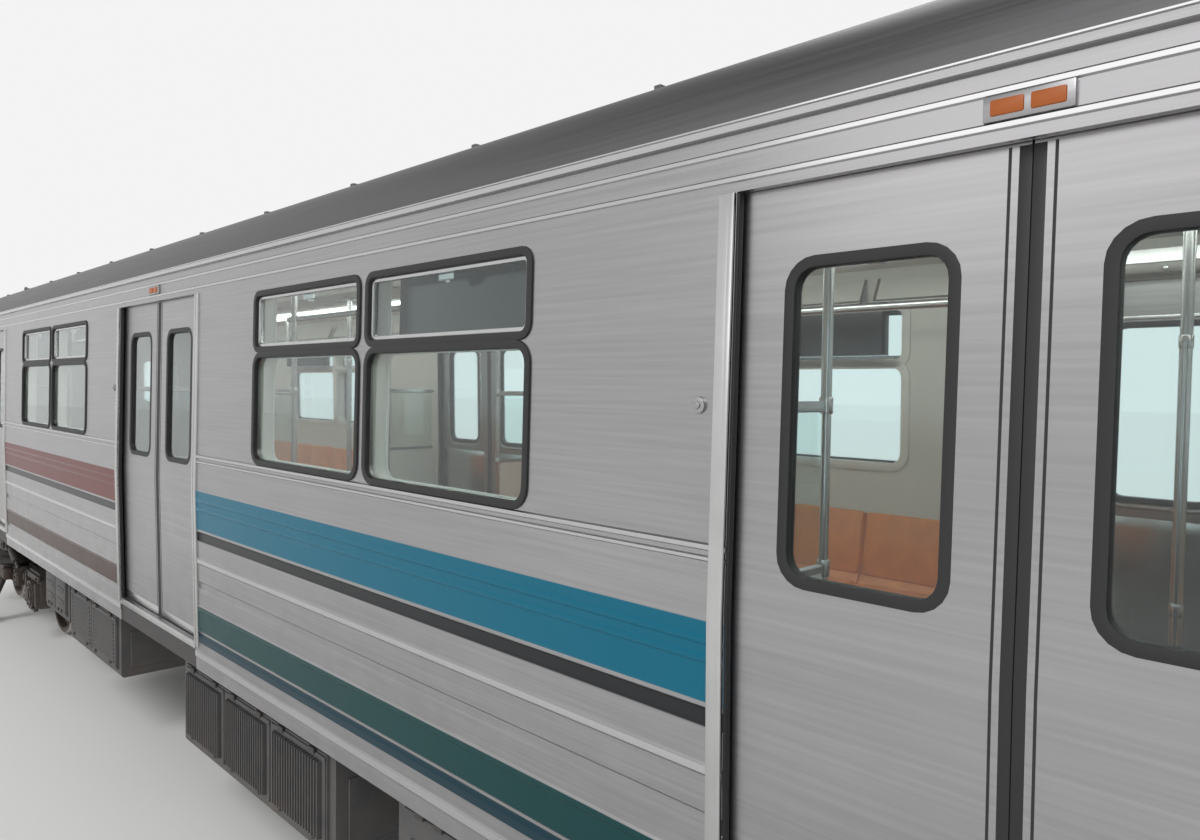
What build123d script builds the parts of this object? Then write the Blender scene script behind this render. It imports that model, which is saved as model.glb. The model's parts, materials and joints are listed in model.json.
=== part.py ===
"""A stainless steel metro car with a cab at one end: body, doors, saloon, underfloor gear, trucks and couplers.

Lengths are in millimetres. +X points to the cab end, +Y to the car's left, +Z up. The origin is under the
middle of the car, level with the lowest point of the wheel flanges. "Depth" is measured inwards from the
outer face of the body side, and "above floor" from the saloon floor.
"""

from build123d import *
from math import atan2, cos, degrees, pi, radians, sin, sqrt
import os

os.makedirs("parts", exist_ok=True)

# Running gear heights
flange_height = 28
tread_radius = 432
axle_z = flange_height + tread_radius
floor_above_rail = 1122
floor_z = flange_height + floor_above_rail

# Body shell
body_half_length = 7420
end_cap_depth = 150
half_width = 1310
lower_lean = 16
upper_lean = 26
wall_thickness = 100
skin_thickness = 6
floor_thickness = 40
sill_depth = 110
crease_above_floor = 855
door_head_above_floor = 1930
cant_above_floor = 2100
roof_rise = 340
shoulder_radius = 230
roof_thickness = 50

sill_top = floor_z - floor_thickness
sill_bottom = sill_top - sill_depth
crease_z = floor_z + crease_above_floor
door_head_z = floor_z + door_head_above_floor
cant_z = floor_z + cant_above_floor
crown_z = cant_z + roof_rise
side_half_length = body_half_length - end_cap_depth

# Side doorways and their sliding leaves
end_bay_length = 2390
door_pitch = body_half_length - end_bay_length
door_half_opening = 685
door_centres = {"rear": -door_pitch, "middle": 0, "front": door_pitch}
leaf_thickness = 34
leaf_depth = 30
leaf_clearance = 6
leaf_overlap = 28
meeting_gap = 5
leaf_top_rise = 34
leaf_travel = door_half_opening - 5
leaf_width = door_half_opening + leaf_overlap - meeting_gap / 2
pocket_length = leaf_travel + leaf_overlap + leaf_clearance
seat_gap = 0.3

# Glazing
glass_thickness = 6
glass_depth = 16
window_sill_above_floor = 1065
window_head_above_floor = 1870
transom_above_floor = 1590
transom_height = 30
window_corner = 60
hopper_corner = 40
window_pier = 70
window_margin = 81
end_window_margin = 140
bay_clear = door_pitch - 2 * (door_half_opening + pocket_length)
window_width = (bay_clear - 2 * window_margin - window_pier) / 2
end_bay_clear = side_half_length - door_pitch - door_half_opening - pocket_length
end_bay_window_width = end_bay_clear - 2 * end_window_margin

# Saloon
ceiling_thickness = 20
duct_half_width = 210
duct_slope = 40
duct_drop = 30
cab_length = 1270
partition_x = body_half_length - cab_length
partition_thickness = 30
bench_height = 430
bench_depth = 450
bench_back_height = 800
shell_thickness = 28
pole_radius = 17

# Trucks
truck_overhang = 1934
truck_centre = body_half_length - truck_overhang
half_wheelbase = 1041
wheel_inner_y = 676.5
wheel_width = 133
axle_radius = 85
journal_radius = 65
journal_start_y = 872
journal_end_y = 1050
bearing_clearance = 0.5
frame_y = 980
frame_width = 130
frame_top_z = 600
spring_height = 180
bolster_height = 120
pivot_radius = 90

# Couplers and ends
coupler_z = 740
coupler_pivot_inset = 470
coupler_reach = 405
coupler_pivot_x = body_half_length - coupler_pivot_inset
coupler_face_x = body_half_length + coupler_reach
end_door_half_opening = 380
end_door_travel = 735
end_window_y = 830
end_window_width = 560

front = 1
rear = -1


# Shared helpers

def save(name, *solids):
    shape = solids[0] if len(solids) == 1 else Compound(children=list(solids))
    export_step(shape, f"parts/{name}.step")


def side_y(z):
    """The outer face of the left body side at height z: widest at the crease, leaning in above and below."""
    if z <= crease_z:
        return half_width - lower_lean * (crease_z - z) / (crease_z - sill_bottom)
    return half_width - upper_lean * (z - crease_z) / (cant_z - crease_z)


def side_path(depth, z_low, z_high):
    levels = [z_low, z_high]
    if z_low < crease_z < z_high:
        levels.insert(1, crease_z)
    return [(side_y(z) - depth, z) for z in levels]


def prism_x(points, x_low, x_high):
    """A solid of the outline points, each (y, z), from x_low to x_high."""
    outline = make_face(Polyline(*points, close=True))
    return extrude(Plane.YZ.offset(x_low) * outline, amount=x_high - x_low)


def prism_y(points, y_low, y_high):
    """A solid of the outline points, each (x, z), from y_low to y_high."""
    outline = make_face(Polyline(*points, close=True))
    return extrude(Plane.XZ.offset(-y_high) * outline, amount=y_high - y_low)


def box(x_low, x_high, y_low, y_high, z_low, z_high):
    size = Box(x_high - x_low, y_high - y_low, z_high - z_low)
    return Pos((x_low + x_high) / 2, (y_low + y_high) / 2, (z_low + z_high) / 2) * size


def round_box_y(x, z, width, height, corner, y_low, y_high):
    """A block along Y whose outline in X and Z is a rectangle with round corners."""
    outline = Pos(x, z) * RectangleRounded(width, height, corner)
    return extrude(Plane.XZ.offset(-y_high) * outline, amount=y_high - y_low)


def round_box_x(y, z, width, height, corner, x_low, x_high):
    outline = Pos(y, z) * RectangleRounded(width, height, corner)
    return extrude(Plane.YZ.offset(x_low) * outline, amount=x_high - x_low)


def cylinder_y(x, z, radius, y_low, y_high):
    return extrude(Plane.XZ.offset(-y_high) * Pos(x, z) * Circle(radius), amount=y_high - y_low)


def cylinder_x(y, z, radius, x_low, x_high):
    return extrude(Plane.YZ.offset(x_low) * Pos(y, z) * Circle(radius), amount=x_high - x_low)


def cylinder_z(x, y, radius, z_low, z_high):
    return extrude(Plane.XY.offset(z_low) * Pos(x, y) * Circle(radius), amount=z_high - z_low)


def to_right(shape):
    return mirror(shape, about=Plane.XZ)


def turned(shape):
    """The same piece turned half a turn about the Z axis."""
    return Rot(0, 0, 180) * shape


# Body sides

# Beads and grooves pressed in the side sheet: middle above floor, half height, stands out, slope height
side_reliefs = (
    (-60, 22, 5, 8),
    (60, 20, -7, 9),
    (205, 18, 5, 8),
    (330, 24, -7, 9),
    (465, 18, 5, 8),
    (600, 28, -8, 10),
    (752, 12, 4, 6),
    (800, 12, 4, 6),
    (1010, 8, 5, 4),
    (1040, 10, 7, 4),
)
# The same for the sheet above the doors
head_reliefs = (
    (1962, 9, 4, 4),
    (2030, 9, 4, 4),
)


def relief_path(reliefs, z_low, z_high):
    """The outer face of the side from z_low to z_high, with its beads and grooves."""
    marks = [(z_low, 0)]
    for middle, half, proud, slope in reliefs:
        z = floor_z + middle
        marks += [(z - half, 0), (z - half + slope, proud), (z + half - slope, proud), (z + half, 0)]
        if middle < crease_above_floor:
            last_below = len(marks)
    if z_low < crease_z < z_high:
        marks.insert(last_below, (crease_z, 0))
    marks.append((z_high, 0))
    return [(side_y(z) + proud, z) for z, proud in marks]


def side_windows():
    """The middle and width of each window in the left side."""
    bay = door_pitch / 2
    step = (window_width + window_pier) / 2
    windows = [(sign * bay + shift, window_width) for sign in (-1, 1) for shift in (-step, step)]
    end_bay = (door_pitch + door_half_opening + pocket_length + side_half_length) / 2
    windows += [(sign * end_bay, end_bay_window_width) for sign in (-1, 1)]
    return windows


def window_panes():
    """Middle height, height and corner radius of the lower pane and of the hopper above it."""
    split_low = transom_above_floor - transom_height / 2
    split_high = transom_above_floor + transom_height / 2
    lower = (window_sill_above_floor, split_low, window_corner)
    hopper = (split_high, window_head_above_floor, hopper_corner)
    return [(floor_z + (low + high) / 2, high - low, corner) for low, high, corner in (lower, hopper)]


def wall_panel(x_low, x_high, pockets):
    """One side wall between doorways. pockets are the X values where a leaf slides in, with its direction."""
    outer = relief_path(side_reliefs, sill_bottom, door_head_z)
    inner_top = (side_y(door_head_z) - wall_thickness, door_head_z)
    inner_crease = (side_y(crease_z) - wall_thickness, crease_z)
    inner_foot = (side_y(sill_top) - wall_thickness, sill_top)
    sill_seat = (side_y(sill_top) - skin_thickness, sill_top)
    skirt_foot = (side_y(sill_bottom) - skin_thickness, sill_bottom)
    outline = outer + [inner_top, inner_crease, inner_foot, sill_seat, skirt_foot]
    panel = prism_x(outline, x_low, x_high)
    slot_out = leaf_depth - leaf_clearance
    slot_in = leaf_depth + leaf_thickness + leaf_clearance
    slot = side_path(slot_out, floor_z, door_head_z) + side_path(slot_in, floor_z, door_head_z)[::-1]
    for x, direction in pockets:
        ends = sorted((x, x + direction * pocket_length))
        panel -= prism_x(slot, *ends)
    for x, width in side_windows():
        if x_low < x < x_high:
            for z, height, corner in window_panes():
                panel -= round_box_y(x, z, width, height, corner, half_width - 300, half_width + 50)
    return panel


def wall_panels():
    """The four panels of the left side, from the rear to the cab."""
    edge = door_pitch - door_half_opening
    outer_edge = door_pitch + door_half_opening
    return [
        wall_panel(-side_half_length, -outer_edge, [(-outer_edge, -1)]),
        wall_panel(-edge, -door_half_opening, [(-edge, 1), (-door_half_opening, -1)]),
        wall_panel(door_half_opening, edge, [(door_half_opening, 1), (edge, -1)]),
        wall_panel(outer_edge, side_half_length, [(outer_edge, 1)]),
    ]


# The door track inside the cant rail: a ledge that the leaves' rollers stand on
track_depth = 57
track_above_head = 62
track_thickness = 10
roller_radius = 15
roller_z = door_head_z + track_above_head + track_thickness + seat_gap + roller_radius
header_half_length = 740
header_inner_y = 1060
header_rise = 12
header_corner = 30
header_bite = 3


def cant_rail():
    """The left rail over windows and doors: drip rail outside, door track in its hollow, covers inside."""
    outer = relief_path(head_reliefs, door_head_z, cant_z)
    drip = [(-28, 0), (-22, 16), (-6, 18), (-4, 24), (0, 24)]
    outer = outer[:-1] + [(side_y(cant_z) + proud, cant_z + down) for down, proud in drip]
    inner = [(side_y(z) - wall_thickness, z) for z in (cant_z, door_head_z)]
    rail = prism_x(outer + inner, -side_half_length, side_half_length)
    slot_out = leaf_depth - leaf_clearance
    slot_in = leaf_depth + leaf_thickness + leaf_clearance
    slot_top = roller_z + roller_radius + leaf_clearance
    ledge_low = door_head_z + track_above_head
    ledge_high = ledge_low + track_thickness
    hollow = side_path(slot_out, door_head_z, slot_top)
    hollow += [(side_y(z) - slot_in, z) for z in (slot_top, ledge_high)]
    hollow += [(side_y(z) - track_depth, z) for z in (ledge_high, ledge_low)]
    hollow += [(side_y(z) - slot_in, z) for z in (ledge_low, door_head_z)]
    rail -= prism_x(hollow, -side_half_length, side_half_length)
    cover_out = side_y(door_head_z) - wall_thickness + header_bite
    cover_low = door_head_z + header_rise
    cover_high = cant_z - ceiling_thickness - seat_gap
    for x in door_centres.values():
        cover = box(x - header_half_length, x + header_half_length, header_inner_y, cover_out,
                    cover_low, cover_high)
        inner_edges = cover.edges().filter_by(Axis.X).sort_by(Axis.Y)[:2].sort_by(Axis.Z)[:1]
        rail += fillet(inner_edges, header_corner)
    return rail


def glass_pane(x, z, width, height, corner, depth=glass_depth):
    """A pane let into the left side at the given depth, its edge a hair clear of the opening."""
    inner_depth = depth + glass_thickness
    band = side_path(depth, z - height, z + height) + side_path(inner_depth, z - height, z + height)[::-1]
    sheet = prism_x(band, x - width, x + width)
    edge = round_box_y(x, z, width - 2 * seat_gap, height - 2 * seat_gap, corner - seat_gap,
                       half_width - 300, half_width + 50)
    return sheet & edge


def side_glass():
    return [glass_pane(x, z, width, height, corner)
            for x, width in side_windows()
            for z, height, corner in window_panes()]


# Side door leaves

leaf_window_width = 400
leaf_window_low = 985
leaf_window_high = 1745
leaf_window_corner = 65
leaf_foot_gap = 5
hanger_inset = 130
hanger_width = 90
hanger_thickness = 12


def door_leaf():
    """The leaf of the middle left doorway that slides towards the cab, closed."""
    low = floor_z + leaf_foot_gap
    high = door_head_z + leaf_top_rise
    inner_depth = leaf_depth + leaf_thickness
    outline = side_path(leaf_depth, low, high) + side_path(inner_depth, low, high)[::-1]
    start = meeting_gap / 2
    leaf = prism_x(outline, start, start + leaf_width)
    window_z = floor_z + (leaf_window_low + leaf_window_high) / 2
    window_x = meeting_gap / 2 + (door_half_opening - meeting_gap / 2) / 2
    leaf -= round_box_y(window_x, window_z, leaf_window_width, leaf_window_high - leaf_window_low,
                        leaf_window_corner, half_width - 300, half_width + 50)
    hanger_top = roller_z + roller_radius - 3
    plate = [(side_y(z) - leaf_depth - 4 - shift, z)
             for shift, heights in ((0, (high - 20, hanger_top)), (hanger_thickness, (hanger_top, high - 20)))
             for z in heights]
    for x in (start + hanger_inset, start + leaf_width - hanger_inset):
        leaf += prism_x(plate, x - hanger_width / 2, x + hanger_width / 2)
        roller_out = side_y(roller_z) - leaf_depth - 4 - hanger_thickness / 2
        roller_in = side_y(roller_z) - leaf_depth - leaf_thickness
        leaf += cylinder_y(x, roller_z, roller_radius, roller_in, roller_out)
    return leaf


def door_glass():
    window_z = floor_z + (leaf_window_low + leaf_window_high) / 2
    window_x = meeting_gap / 2 + (door_half_opening - meeting_gap / 2) / 2
    depth = leaf_depth + (leaf_thickness - glass_thickness) / 2
    return glass_pane(window_x, window_z, leaf_window_width, leaf_window_high - leaf_window_low,
                      leaf_window_corner, depth)


def build_side_doors():
    kinds = {"fore": (door_leaf(), door_glass())}
    kinds["aft"] = tuple(mirror(shape, about=Plane.YZ) for shape in kinds["fore"])
    for side in ("left", "right"):
        for bay, x in door_centres.items():
            for hand, (leaf, glass) in kinds.items():
                placed = [Pos(x, 0, 0) * shape for shape in (leaf, glass)]
                if side == "right":
                    placed = [to_right(shape) for shape in placed]
                save(f"door_{side}_{bay}_{hand}", placed[0])
                save(f"door_{side}_{bay}_{hand}_glass", placed[1])


# Roof

rib_width = 20
rib_height = 7
rib_count = 21
rib_pitch = 88


def roof_section(inset):
    """The roof's outline, set in from the outer face by inset: two shoulder arcs and a crown arc."""
    side = side_y(cant_z) - inset
    crown = crown_z - inset
    shoulder = shoulder_radius - inset
    run = side - shoulder
    rise = crown - cant_z
    crown_radius = (run ** 2 + rise ** 2 - shoulder ** 2) / (2 * (rise - shoulder))
    centre_z = crown - crown_radius
    angle = atan2(cant_z - centre_z, run)
    corner = (crown_radius * cos(angle), centre_z + crown_radius * sin(angle))
    mid_angle = angle / 2
    shoulder_mid = (run + shoulder * cos(mid_angle), cant_z + shoulder * sin(mid_angle))
    lines = [
        ThreePointArc((side, cant_z), shoulder_mid, corner),
        ThreePointArc(corner, (0, crown), (-corner[0], corner[1])),
        ThreePointArc((-corner[0], corner[1]), (-shoulder_mid[0], shoulder_mid[1]), (-side, cant_z)),
        Line((-side, cant_z), (side, cant_z)),
    ]
    return make_face(Curve() + lines), crown_radius, centre_z


def ribbed_roof_face():
    face, crown_radius, centre_z = roof_section(0)
    for index in range(rib_count):
        angle = (index - (rib_count - 1) / 2) * rib_pitch / crown_radius
        radius = crown_radius + rib_height / 2 - 2
        place = Pos(radius * sin(angle), centre_z + radius * cos(angle)) * Rot(0, 0, -degrees(angle))
        face += place * Rectangle(rib_width, rib_height + 4)
    return face


vent_xs = (-1500, -750, 0, 750, 1500)
vent_radius = 130
vent_neck_radius = 85
vent_rise = 55
vent_cap_height = 24
vent_rim = 16
hatch_setback = 1120
hatch_length = 540
hatch_width = 460
hatch_rise = 29
hatch_corner = 30
eye_setback = 2120
eye_y = 930
eye_radius = 40
eye_hole_radius = 22
eye_half_thickness = 10
eye_pad = (180, 100, 14)


def roof_vent(x):
    """A low round vent: a cap with a rounded rim over a neck."""
    cap_low = crown_z + vent_rise - vent_cap_height
    cap = cylinder_z(x, 0, vent_radius, cap_low, crown_z + vent_rise)
    cap = fillet(cap.edges().filter_by(GeomType.CIRCLE).sort_by(Axis.Z)[-1], vent_rim)
    return cap + cylinder_z(x, 0, vent_neck_radius, crown_z - 5, cap_low + 1)


def lifting_eye(x, y):
    _, crown_radius, centre_z = roof_section(0)
    z = centre_z + sqrt(crown_radius ** 2 - y ** 2)
    half = eye_half_thickness
    pad_length, pad_width, pad_height = eye_pad
    eye = cylinder_y(x, z + eye_radius, eye_radius, y - half, y + half)
    eye += box(x - eye_radius, x + eye_radius, y - half, y + half, z - 15, z + eye_radius)
    eye -= cylinder_y(x, z + eye_radius, eye_hole_radius, y - half - 1, y + half + 1)
    return eye + box(x - pad_length / 2, x + pad_length / 2, y - pad_width / 2, y + pad_width / 2, z - 20,
                     z + pad_height)


def roof_shell():
    """The ribbed roof sheet with its vents, end hatches and lifting eyes."""
    hollow, _, _ = roof_section(roof_thickness)
    shell = ribbed_roof_face() - hollow
    roof = extrude(Plane.YZ.offset(-side_half_length) * shell, amount=2 * side_half_length)
    for x in vent_xs:
        roof += roof_vent(x)
    for sign in (-1, 1):
        x = sign * (body_half_length - hatch_setback)
        hatch = box(x - hatch_length / 2, x + hatch_length / 2, -hatch_width / 2, hatch_width / 2,
                    crown_z - 25, crown_z + hatch_rise)
        roof += fillet(hatch.edges().filter_by(Axis.Z), hatch_corner)
        for y in (-eye_y, eye_y):
            roof += lifting_eye(sign * (body_half_length - eye_setback), y)
    return roof


air_unit_half_width = 760
air_unit_length = 2300
air_unit_rise = 58
air_unit_x = 3600


def air_unit(x):
    """A low air conditioning housing that sits on the roof ribs' sheet, with sloping ends and a grille well."""
    top = crown_z + air_unit_rise
    outline = Polyline((-air_unit_half_width, cant_z + 200), (-air_unit_half_width, top - 62),
                       (-air_unit_half_width + 120, top), (air_unit_half_width - 120, top),
                       (air_unit_half_width, top - 62), (air_unit_half_width, cant_z + 200), close=True)
    face = make_face(outline) - ribbed_roof_face()
    unit = extrude(Plane.YZ.offset(x - air_unit_length / 2) * face, amount=air_unit_length)
    for sign in (-1, 1):
        end = x + sign * air_unit_length / 2
        wedge = [(end - sign * 140, top + 1), (end + sign, top + 1), (end + sign, crown_z - 60)]
        unit -= prism_y(wedge, -air_unit_half_width - 1, air_unit_half_width + 1)
    for fan in (-520, 520):
        unit -= cylinder_z(x + fan, 0, 330, top - 30, top + 1)
        unit += cylinder_z(x + fan, 0, 90, top - 30, top - 6)
        for blade in range(6):
            slat = Pos(x + fan, 0, top - 18) * Rot(0, 0, 30 * blade) * Box(670, 12, 24)
            unit += slat
    return unit


# End walls

face_thickness = 60
end_edge_radius = 55
end_window_low = 1050
end_window_high = 1800
lamp_z_above_floor = 300
lamp_radius = 82
lamp_ys = (900, 1090)
sign_width = 560
sign_height = 150
sign_z = door_head_z + 130
end_door_thickness = 32
end_door_overlap = 24
end_door_gap = 6
end_track_above_head = 60
end_hanger_thickness = 8
end_track_reach = end_door_gap + end_door_thickness - end_hanger_thickness - leaf_clearance


def cap_face(inset):
    """The whole body section, sides and roof together, set in from the outer face by inset."""
    roof, _, _ = roof_section(inset)
    right = side_path(inset, sill_bottom, cant_z)
    left = [(-y, z) for y, z in reversed(right)]
    return make_face(Polyline(*right, *left, close=True)) + roof


def end_wall(direction):
    """The car's end in line with the body section, hollow behind, with its doorway, windows and track."""
    inner_x = body_half_length - face_thickness
    cap = extrude(Plane.YZ.offset(side_half_length) * cap_face(0), amount=end_cap_depth)
    rim = cap.faces().sort_by(Axis.X)[-1].edges()
    cap = fillet([edge for edge in rim if edge.center().Z > sill_bottom + 1], end_edge_radius)
    hollow = extrude(Plane.YZ.offset(side_half_length) * cap_face(wall_thickness),
                     amount=end_cap_depth - face_thickness)
    cap -= hollow
    cap -= box(side_half_length - 1, inner_x, -half_width + wall_thickness, half_width - wall_thickness,
               sill_bottom - 1, floor_z)
    cap -= box(side_half_length - 1, body_half_length + 1, -end_door_half_opening, end_door_half_opening,
               sill_top, door_head_z)
    cap -= box(inner_x - 1, body_half_length + 1, -anticlimber_half_width - 1, anticlimber_half_width + 1,
               sill_bottom - 1, sill_top)
    window_z = floor_z + (end_window_low + end_window_high) / 2
    for side in (-1, 1):
        cap -= round_box_x(side * end_window_y, window_z, end_window_width, end_window_high - end_window_low,
                           70, side_half_length, body_half_length + 1)
        for y in lamp_ys:
            cap -= cylinder_x(side * y, floor_z + lamp_z_above_floor, lamp_radius if y == lamp_ys[0] else 62,
                              body_half_length - 30, body_half_length + 1)
    cap -= round_box_x(0, sign_z, sign_width, sign_height, 20, body_half_length - 30, body_half_length + 1)
    track_low = door_head_z + end_track_above_head
    track = box(inner_x - end_track_reach, inner_x, -end_door_half_opening - 40,
                end_door_half_opening + end_door_travel + 40, track_low, track_low + track_thickness)
    cap += track
    return cap if direction == front else turned(cap)


def end_door(direction):
    """The gangway door, which slides on a track behind the end wall."""
    inner_x = body_half_length - face_thickness
    x_high = inner_x - end_door_gap
    x_low = x_high - end_door_thickness
    half = end_door_half_opening + end_door_overlap
    high = door_head_z + end_door_overlap
    door = box(x_low, x_high, -half, half, floor_z + leaf_foot_gap, high)
    window_z = floor_z + (end_window_low + end_window_high) / 2
    door -= round_box_x(0, window_z, 420, end_window_high - end_window_low, 65, x_low - 1, x_high + 1)
    axle_height = door_head_z + end_track_above_head + track_thickness + seat_gap + roller_radius
    for y in (-half + 120, half - 120):
        door += box(x_low, x_low + end_hanger_thickness, y - 45, y + 45, high - 20,
                    axle_height + roller_radius - 3)
        door += cylinder_x(y, axle_height, roller_radius, x_low + 4, x_high)
    return door if direction == front else turned(door)


def end_door_glass(direction):
    inner_x = body_half_length - face_thickness
    middle = inner_x - end_door_gap - end_door_thickness / 2
    window_z = floor_z + (end_window_low + end_window_high) / 2
    pane = round_box_x(0, window_z, 420 - 2 * seat_gap, end_window_high - end_window_low - 2 * seat_gap,
                       65 - seat_gap, middle - glass_thickness / 2, middle + glass_thickness / 2)
    return pane if direction == front else turned(pane)


def end_glass(direction):
    window_z = floor_z + (end_window_low + end_window_high) / 2
    x_high = body_half_length - 12
    panes = [round_box_x(side * end_window_y, window_z, end_window_width - 2 * seat_gap,
                         end_window_high - end_window_low - 2 * seat_gap, 70 - seat_gap,
                         x_high - glass_thickness, x_high) for side in (-1, 1)]
    return panes if direction == front else [turned(pane) for pane in panes]


# Underframe and floor

centre_sill_half_width = 190
cross_member_width = 90
cross_member_pitch = 900
member_rise = 20
body_bolster_width = 420
anticlimber_reach = 95
anticlimber_half_width = 620
anticlimber_ridges = 4
pivot_reach = 150
clevis_half_gap = 72
clevis_plate = 28
clevis_half_width = 110
coupler_pin_radius = 30


def anticlimber():
    """The ribbed buffer beam across the front end."""
    low = sill_bottom
    face_x = body_half_length + anticlimber_reach
    ridge = sill_depth / (2 * anticlimber_ridges - 1)
    beam = box(body_half_length - face_thickness - 10, face_x - 30, -anticlimber_half_width,
               anticlimber_half_width, low, sill_top)
    for index in range(anticlimber_ridges):
        z = low + 2 * index * ridge
        beam += box(face_x - 31, face_x, -anticlimber_half_width, anticlimber_half_width, z, z + ridge)
    corners = beam.edges().filter_by(Axis.Z).filter_by_position(Axis.X, face_x - 1, face_x + 1)
    return fillet(corners, 25)


def cross_member_places():
    count = int(2 * (truck_centre - body_bolster_width) / cross_member_pitch)
    return [(index - count / 2) * cross_member_pitch for index in range(count + 1)]


jacking_pad_setback = 1586
jacking_pad_length = 160
jacking_pad_width = 76
jacking_pad_height = 15


def jacking_pad(x, side):
    middle = side * (side_y(sill_bottom) - wall_thickness / 2)
    half = jacking_pad_width / 2
    return box(x - jacking_pad_length / 2, x + jacking_pad_length / 2, middle - half, middle + half,
               sill_bottom - jacking_pad_height, sill_bottom + 1)


step_inset = 75
step_y = 920
step_half_width = 160
step_drop = 410
step_rung_drops = (200, 400)
step_bar_radius = 13
tread_thickness = 24
tread_depth = (-27, 47)
tread_overhang = 10
socket_y = 470
socket_drop = 132
socket_half_width = 70
socket_span = (-70, 35)
mouth_drop = 70
mouth_radius = 52
mouth_length = 32
horn_y = -620
horn_z = 900
horn_length = 260
horn_throat_radius = 18
horn_mouth_radius = 62
horn_chamber_radius = 40
horn_setback = 20


def corner_step(side):
    """A two-rung step hung from the front end sill."""
    x = body_half_length - step_inset
    low, high = side * step_y - step_half_width, side * step_y + step_half_width
    foot = step_bar_radius + 1
    half = tread_thickness / 2
    step = box(x - foot, x + foot, low - foot, high + foot, sill_bottom - half, sill_bottom + 1)
    for y in (low, high):
        step += cylinder_z(x, y, step_bar_radius, sill_bottom - step_drop, sill_bottom)
    for drop in step_rung_drops:
        z = sill_bottom - drop
        step += box(x + tread_depth[0], x + tread_depth[1], low - tread_overhang, high + tread_overhang,
                    z - half, z + half)
    return step


def jumper_socket(side):
    """A cable socket with a round mouth below the buffer beam."""
    x_low, x_high = (body_half_length + reach for reach in socket_span)
    y = side * socket_y
    case = box(x_low, x_high, y - socket_half_width, y + socket_half_width, sill_bottom - socket_drop,
               sill_bottom + 1)
    case = fillet(case.edges().filter_by(Axis.X).sort_by(Axis.Z)[:2], 20)
    return case + cylinder_x(y, sill_bottom - mouth_drop, mouth_radius, x_high - 1, x_high + mouth_length)


def horn():
    """A trumpet horn on a bracket under the cab."""
    mouth_x = body_half_length - horn_setback
    throat_x = mouth_x - horn_length
    along = Pos(mouth_x - horn_length / 2, horn_y, horn_z) * Rot(0, 90, 0)
    bell = along * Cone(horn_throat_radius, horn_mouth_radius, horn_length)
    bell -= along * Cone(horn_throat_radius - 8, horn_mouth_radius - 8, horn_length)
    body = bell + cylinder_x(horn_y, horn_z, horn_chamber_radius, throat_x - 60, throat_x + 10)
    return body + box(throat_x - 60, throat_x, horn_y - 20, horn_y + 20, horn_z, sill_bottom + 1)


def underframe():
    """Side sills, centre sill, cross members, bolsters and end beams as one, with pivots and hangers below."""
    pieces = []
    inner_x = body_half_length - face_thickness
    sill = [(side_y(sill_bottom) - skin_thickness, sill_bottom), (side_y(sill_top) - skin_thickness, sill_top),
            (side_y(sill_top) - wall_thickness, sill_top), (side_y(sill_top) - wall_thickness, sill_bottom)]
    left_sill = prism_x(sill, -side_half_length, side_half_length)
    sill_inner = side_y(sill_top) - wall_thickness
    frame = left_sill + to_right(left_sill)
    frame += box(-inner_x, inner_x, -centre_sill_half_width, centre_sill_half_width, sill_bottom, sill_top)
    for x in cross_member_places():
        frame += box(x - cross_member_width / 2, x + cross_member_width / 2, -sill_inner, sill_inner,
                     sill_bottom + member_rise, sill_top)
    for sign in (-1, 1):
        x = sign * truck_centre
        frame += box(x - body_bolster_width / 2, x + body_bolster_width / 2, -sill_inner, sill_inner,
                     sill_bottom, sill_top)
        pieces.append(cylinder_z(x, 0, pivot_radius, sill_bottom - pivot_reach, sill_bottom - seat_gap))
        for side in (-1, 1):
            frame += jacking_pad(x - sign * jacking_pad_setback, side)
        ends = sorted((sign * (side_half_length - 260), sign * inner_x))
        frame += box(*ends, -sill_inner, sill_inner, sill_bottom, sill_top)
    frame += horn()
    for side in (-1, 1):
        for fitting in (corner_step(side), jumper_socket(side)):
            frame += fitting
            frame += turned(fitting)
    beam = anticlimber()
    hanger = coupler_clevis()
    return [frame + beam + turned(beam), hanger, turned(hanger)] + pieces


def coupler_clevis():
    """The front coupler's hanger: a pair of plates and a pin, hung from the centre sill."""
    x_low = coupler_pivot_x - 90
    x_high = coupler_pivot_x + 70
    top = coupler_z + clevis_half_gap
    foot = coupler_z - clevis_half_gap - clevis_plate
    half = clevis_half_width
    ceiling = sill_bottom - seat_gap
    hanger = box(x_low, x_low + 60, -half, half, top, ceiling)
    hanger += box(x_low, x_high, -half, half, top, top + clevis_plate)
    hanger += box(x_low - 60, x_low, -half, half, foot, ceiling)
    hanger += box(x_low - 60, x_high, -half, half, foot, foot + clevis_plate)
    hanger += cylinder_z(coupler_pivot_x, 0, coupler_pin_radius, foot - 15, top + 5)
    return hanger


def floor_deck():
    """The floor slab, which runs out to the body side as a threshold at each doorway."""
    inner = side_y(sill_top) - wall_thickness
    deck = box(-side_half_length, side_half_length, -inner, inner, sill_top, floor_z)
    tread = side_path(0, sill_top, floor_z) + [(inner - 5, floor_z), (inner - 5, sill_top)]
    for x in door_centres.values():
        plate = prism_x(tread, x - door_half_opening, x + door_half_opening)
        deck += plate
        deck += to_right(plate)
    for sign in (-1, 1):
        ends = sorted((sign * (side_half_length - 5), sign * body_half_length))
        deck += box(*ends, -end_door_half_opening + 1, end_door_half_opening - 1, sill_top, floor_z)
    return deck


# Saloon fittings

def ceiling_panel():
    inner = side_y(cant_z) - wall_thickness
    low = cant_z - ceiling_thickness
    duct = duct_half_width
    outline = [(-inner, cant_z), (-inner, low), (-duct - duct_slope, low), (-duct, low - duct_drop),
               (duct, low - duct_drop), (duct + duct_slope, low), (inner, low), (inner, cant_z)]
    return prism_x(outline, -side_half_length, side_half_length)


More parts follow.
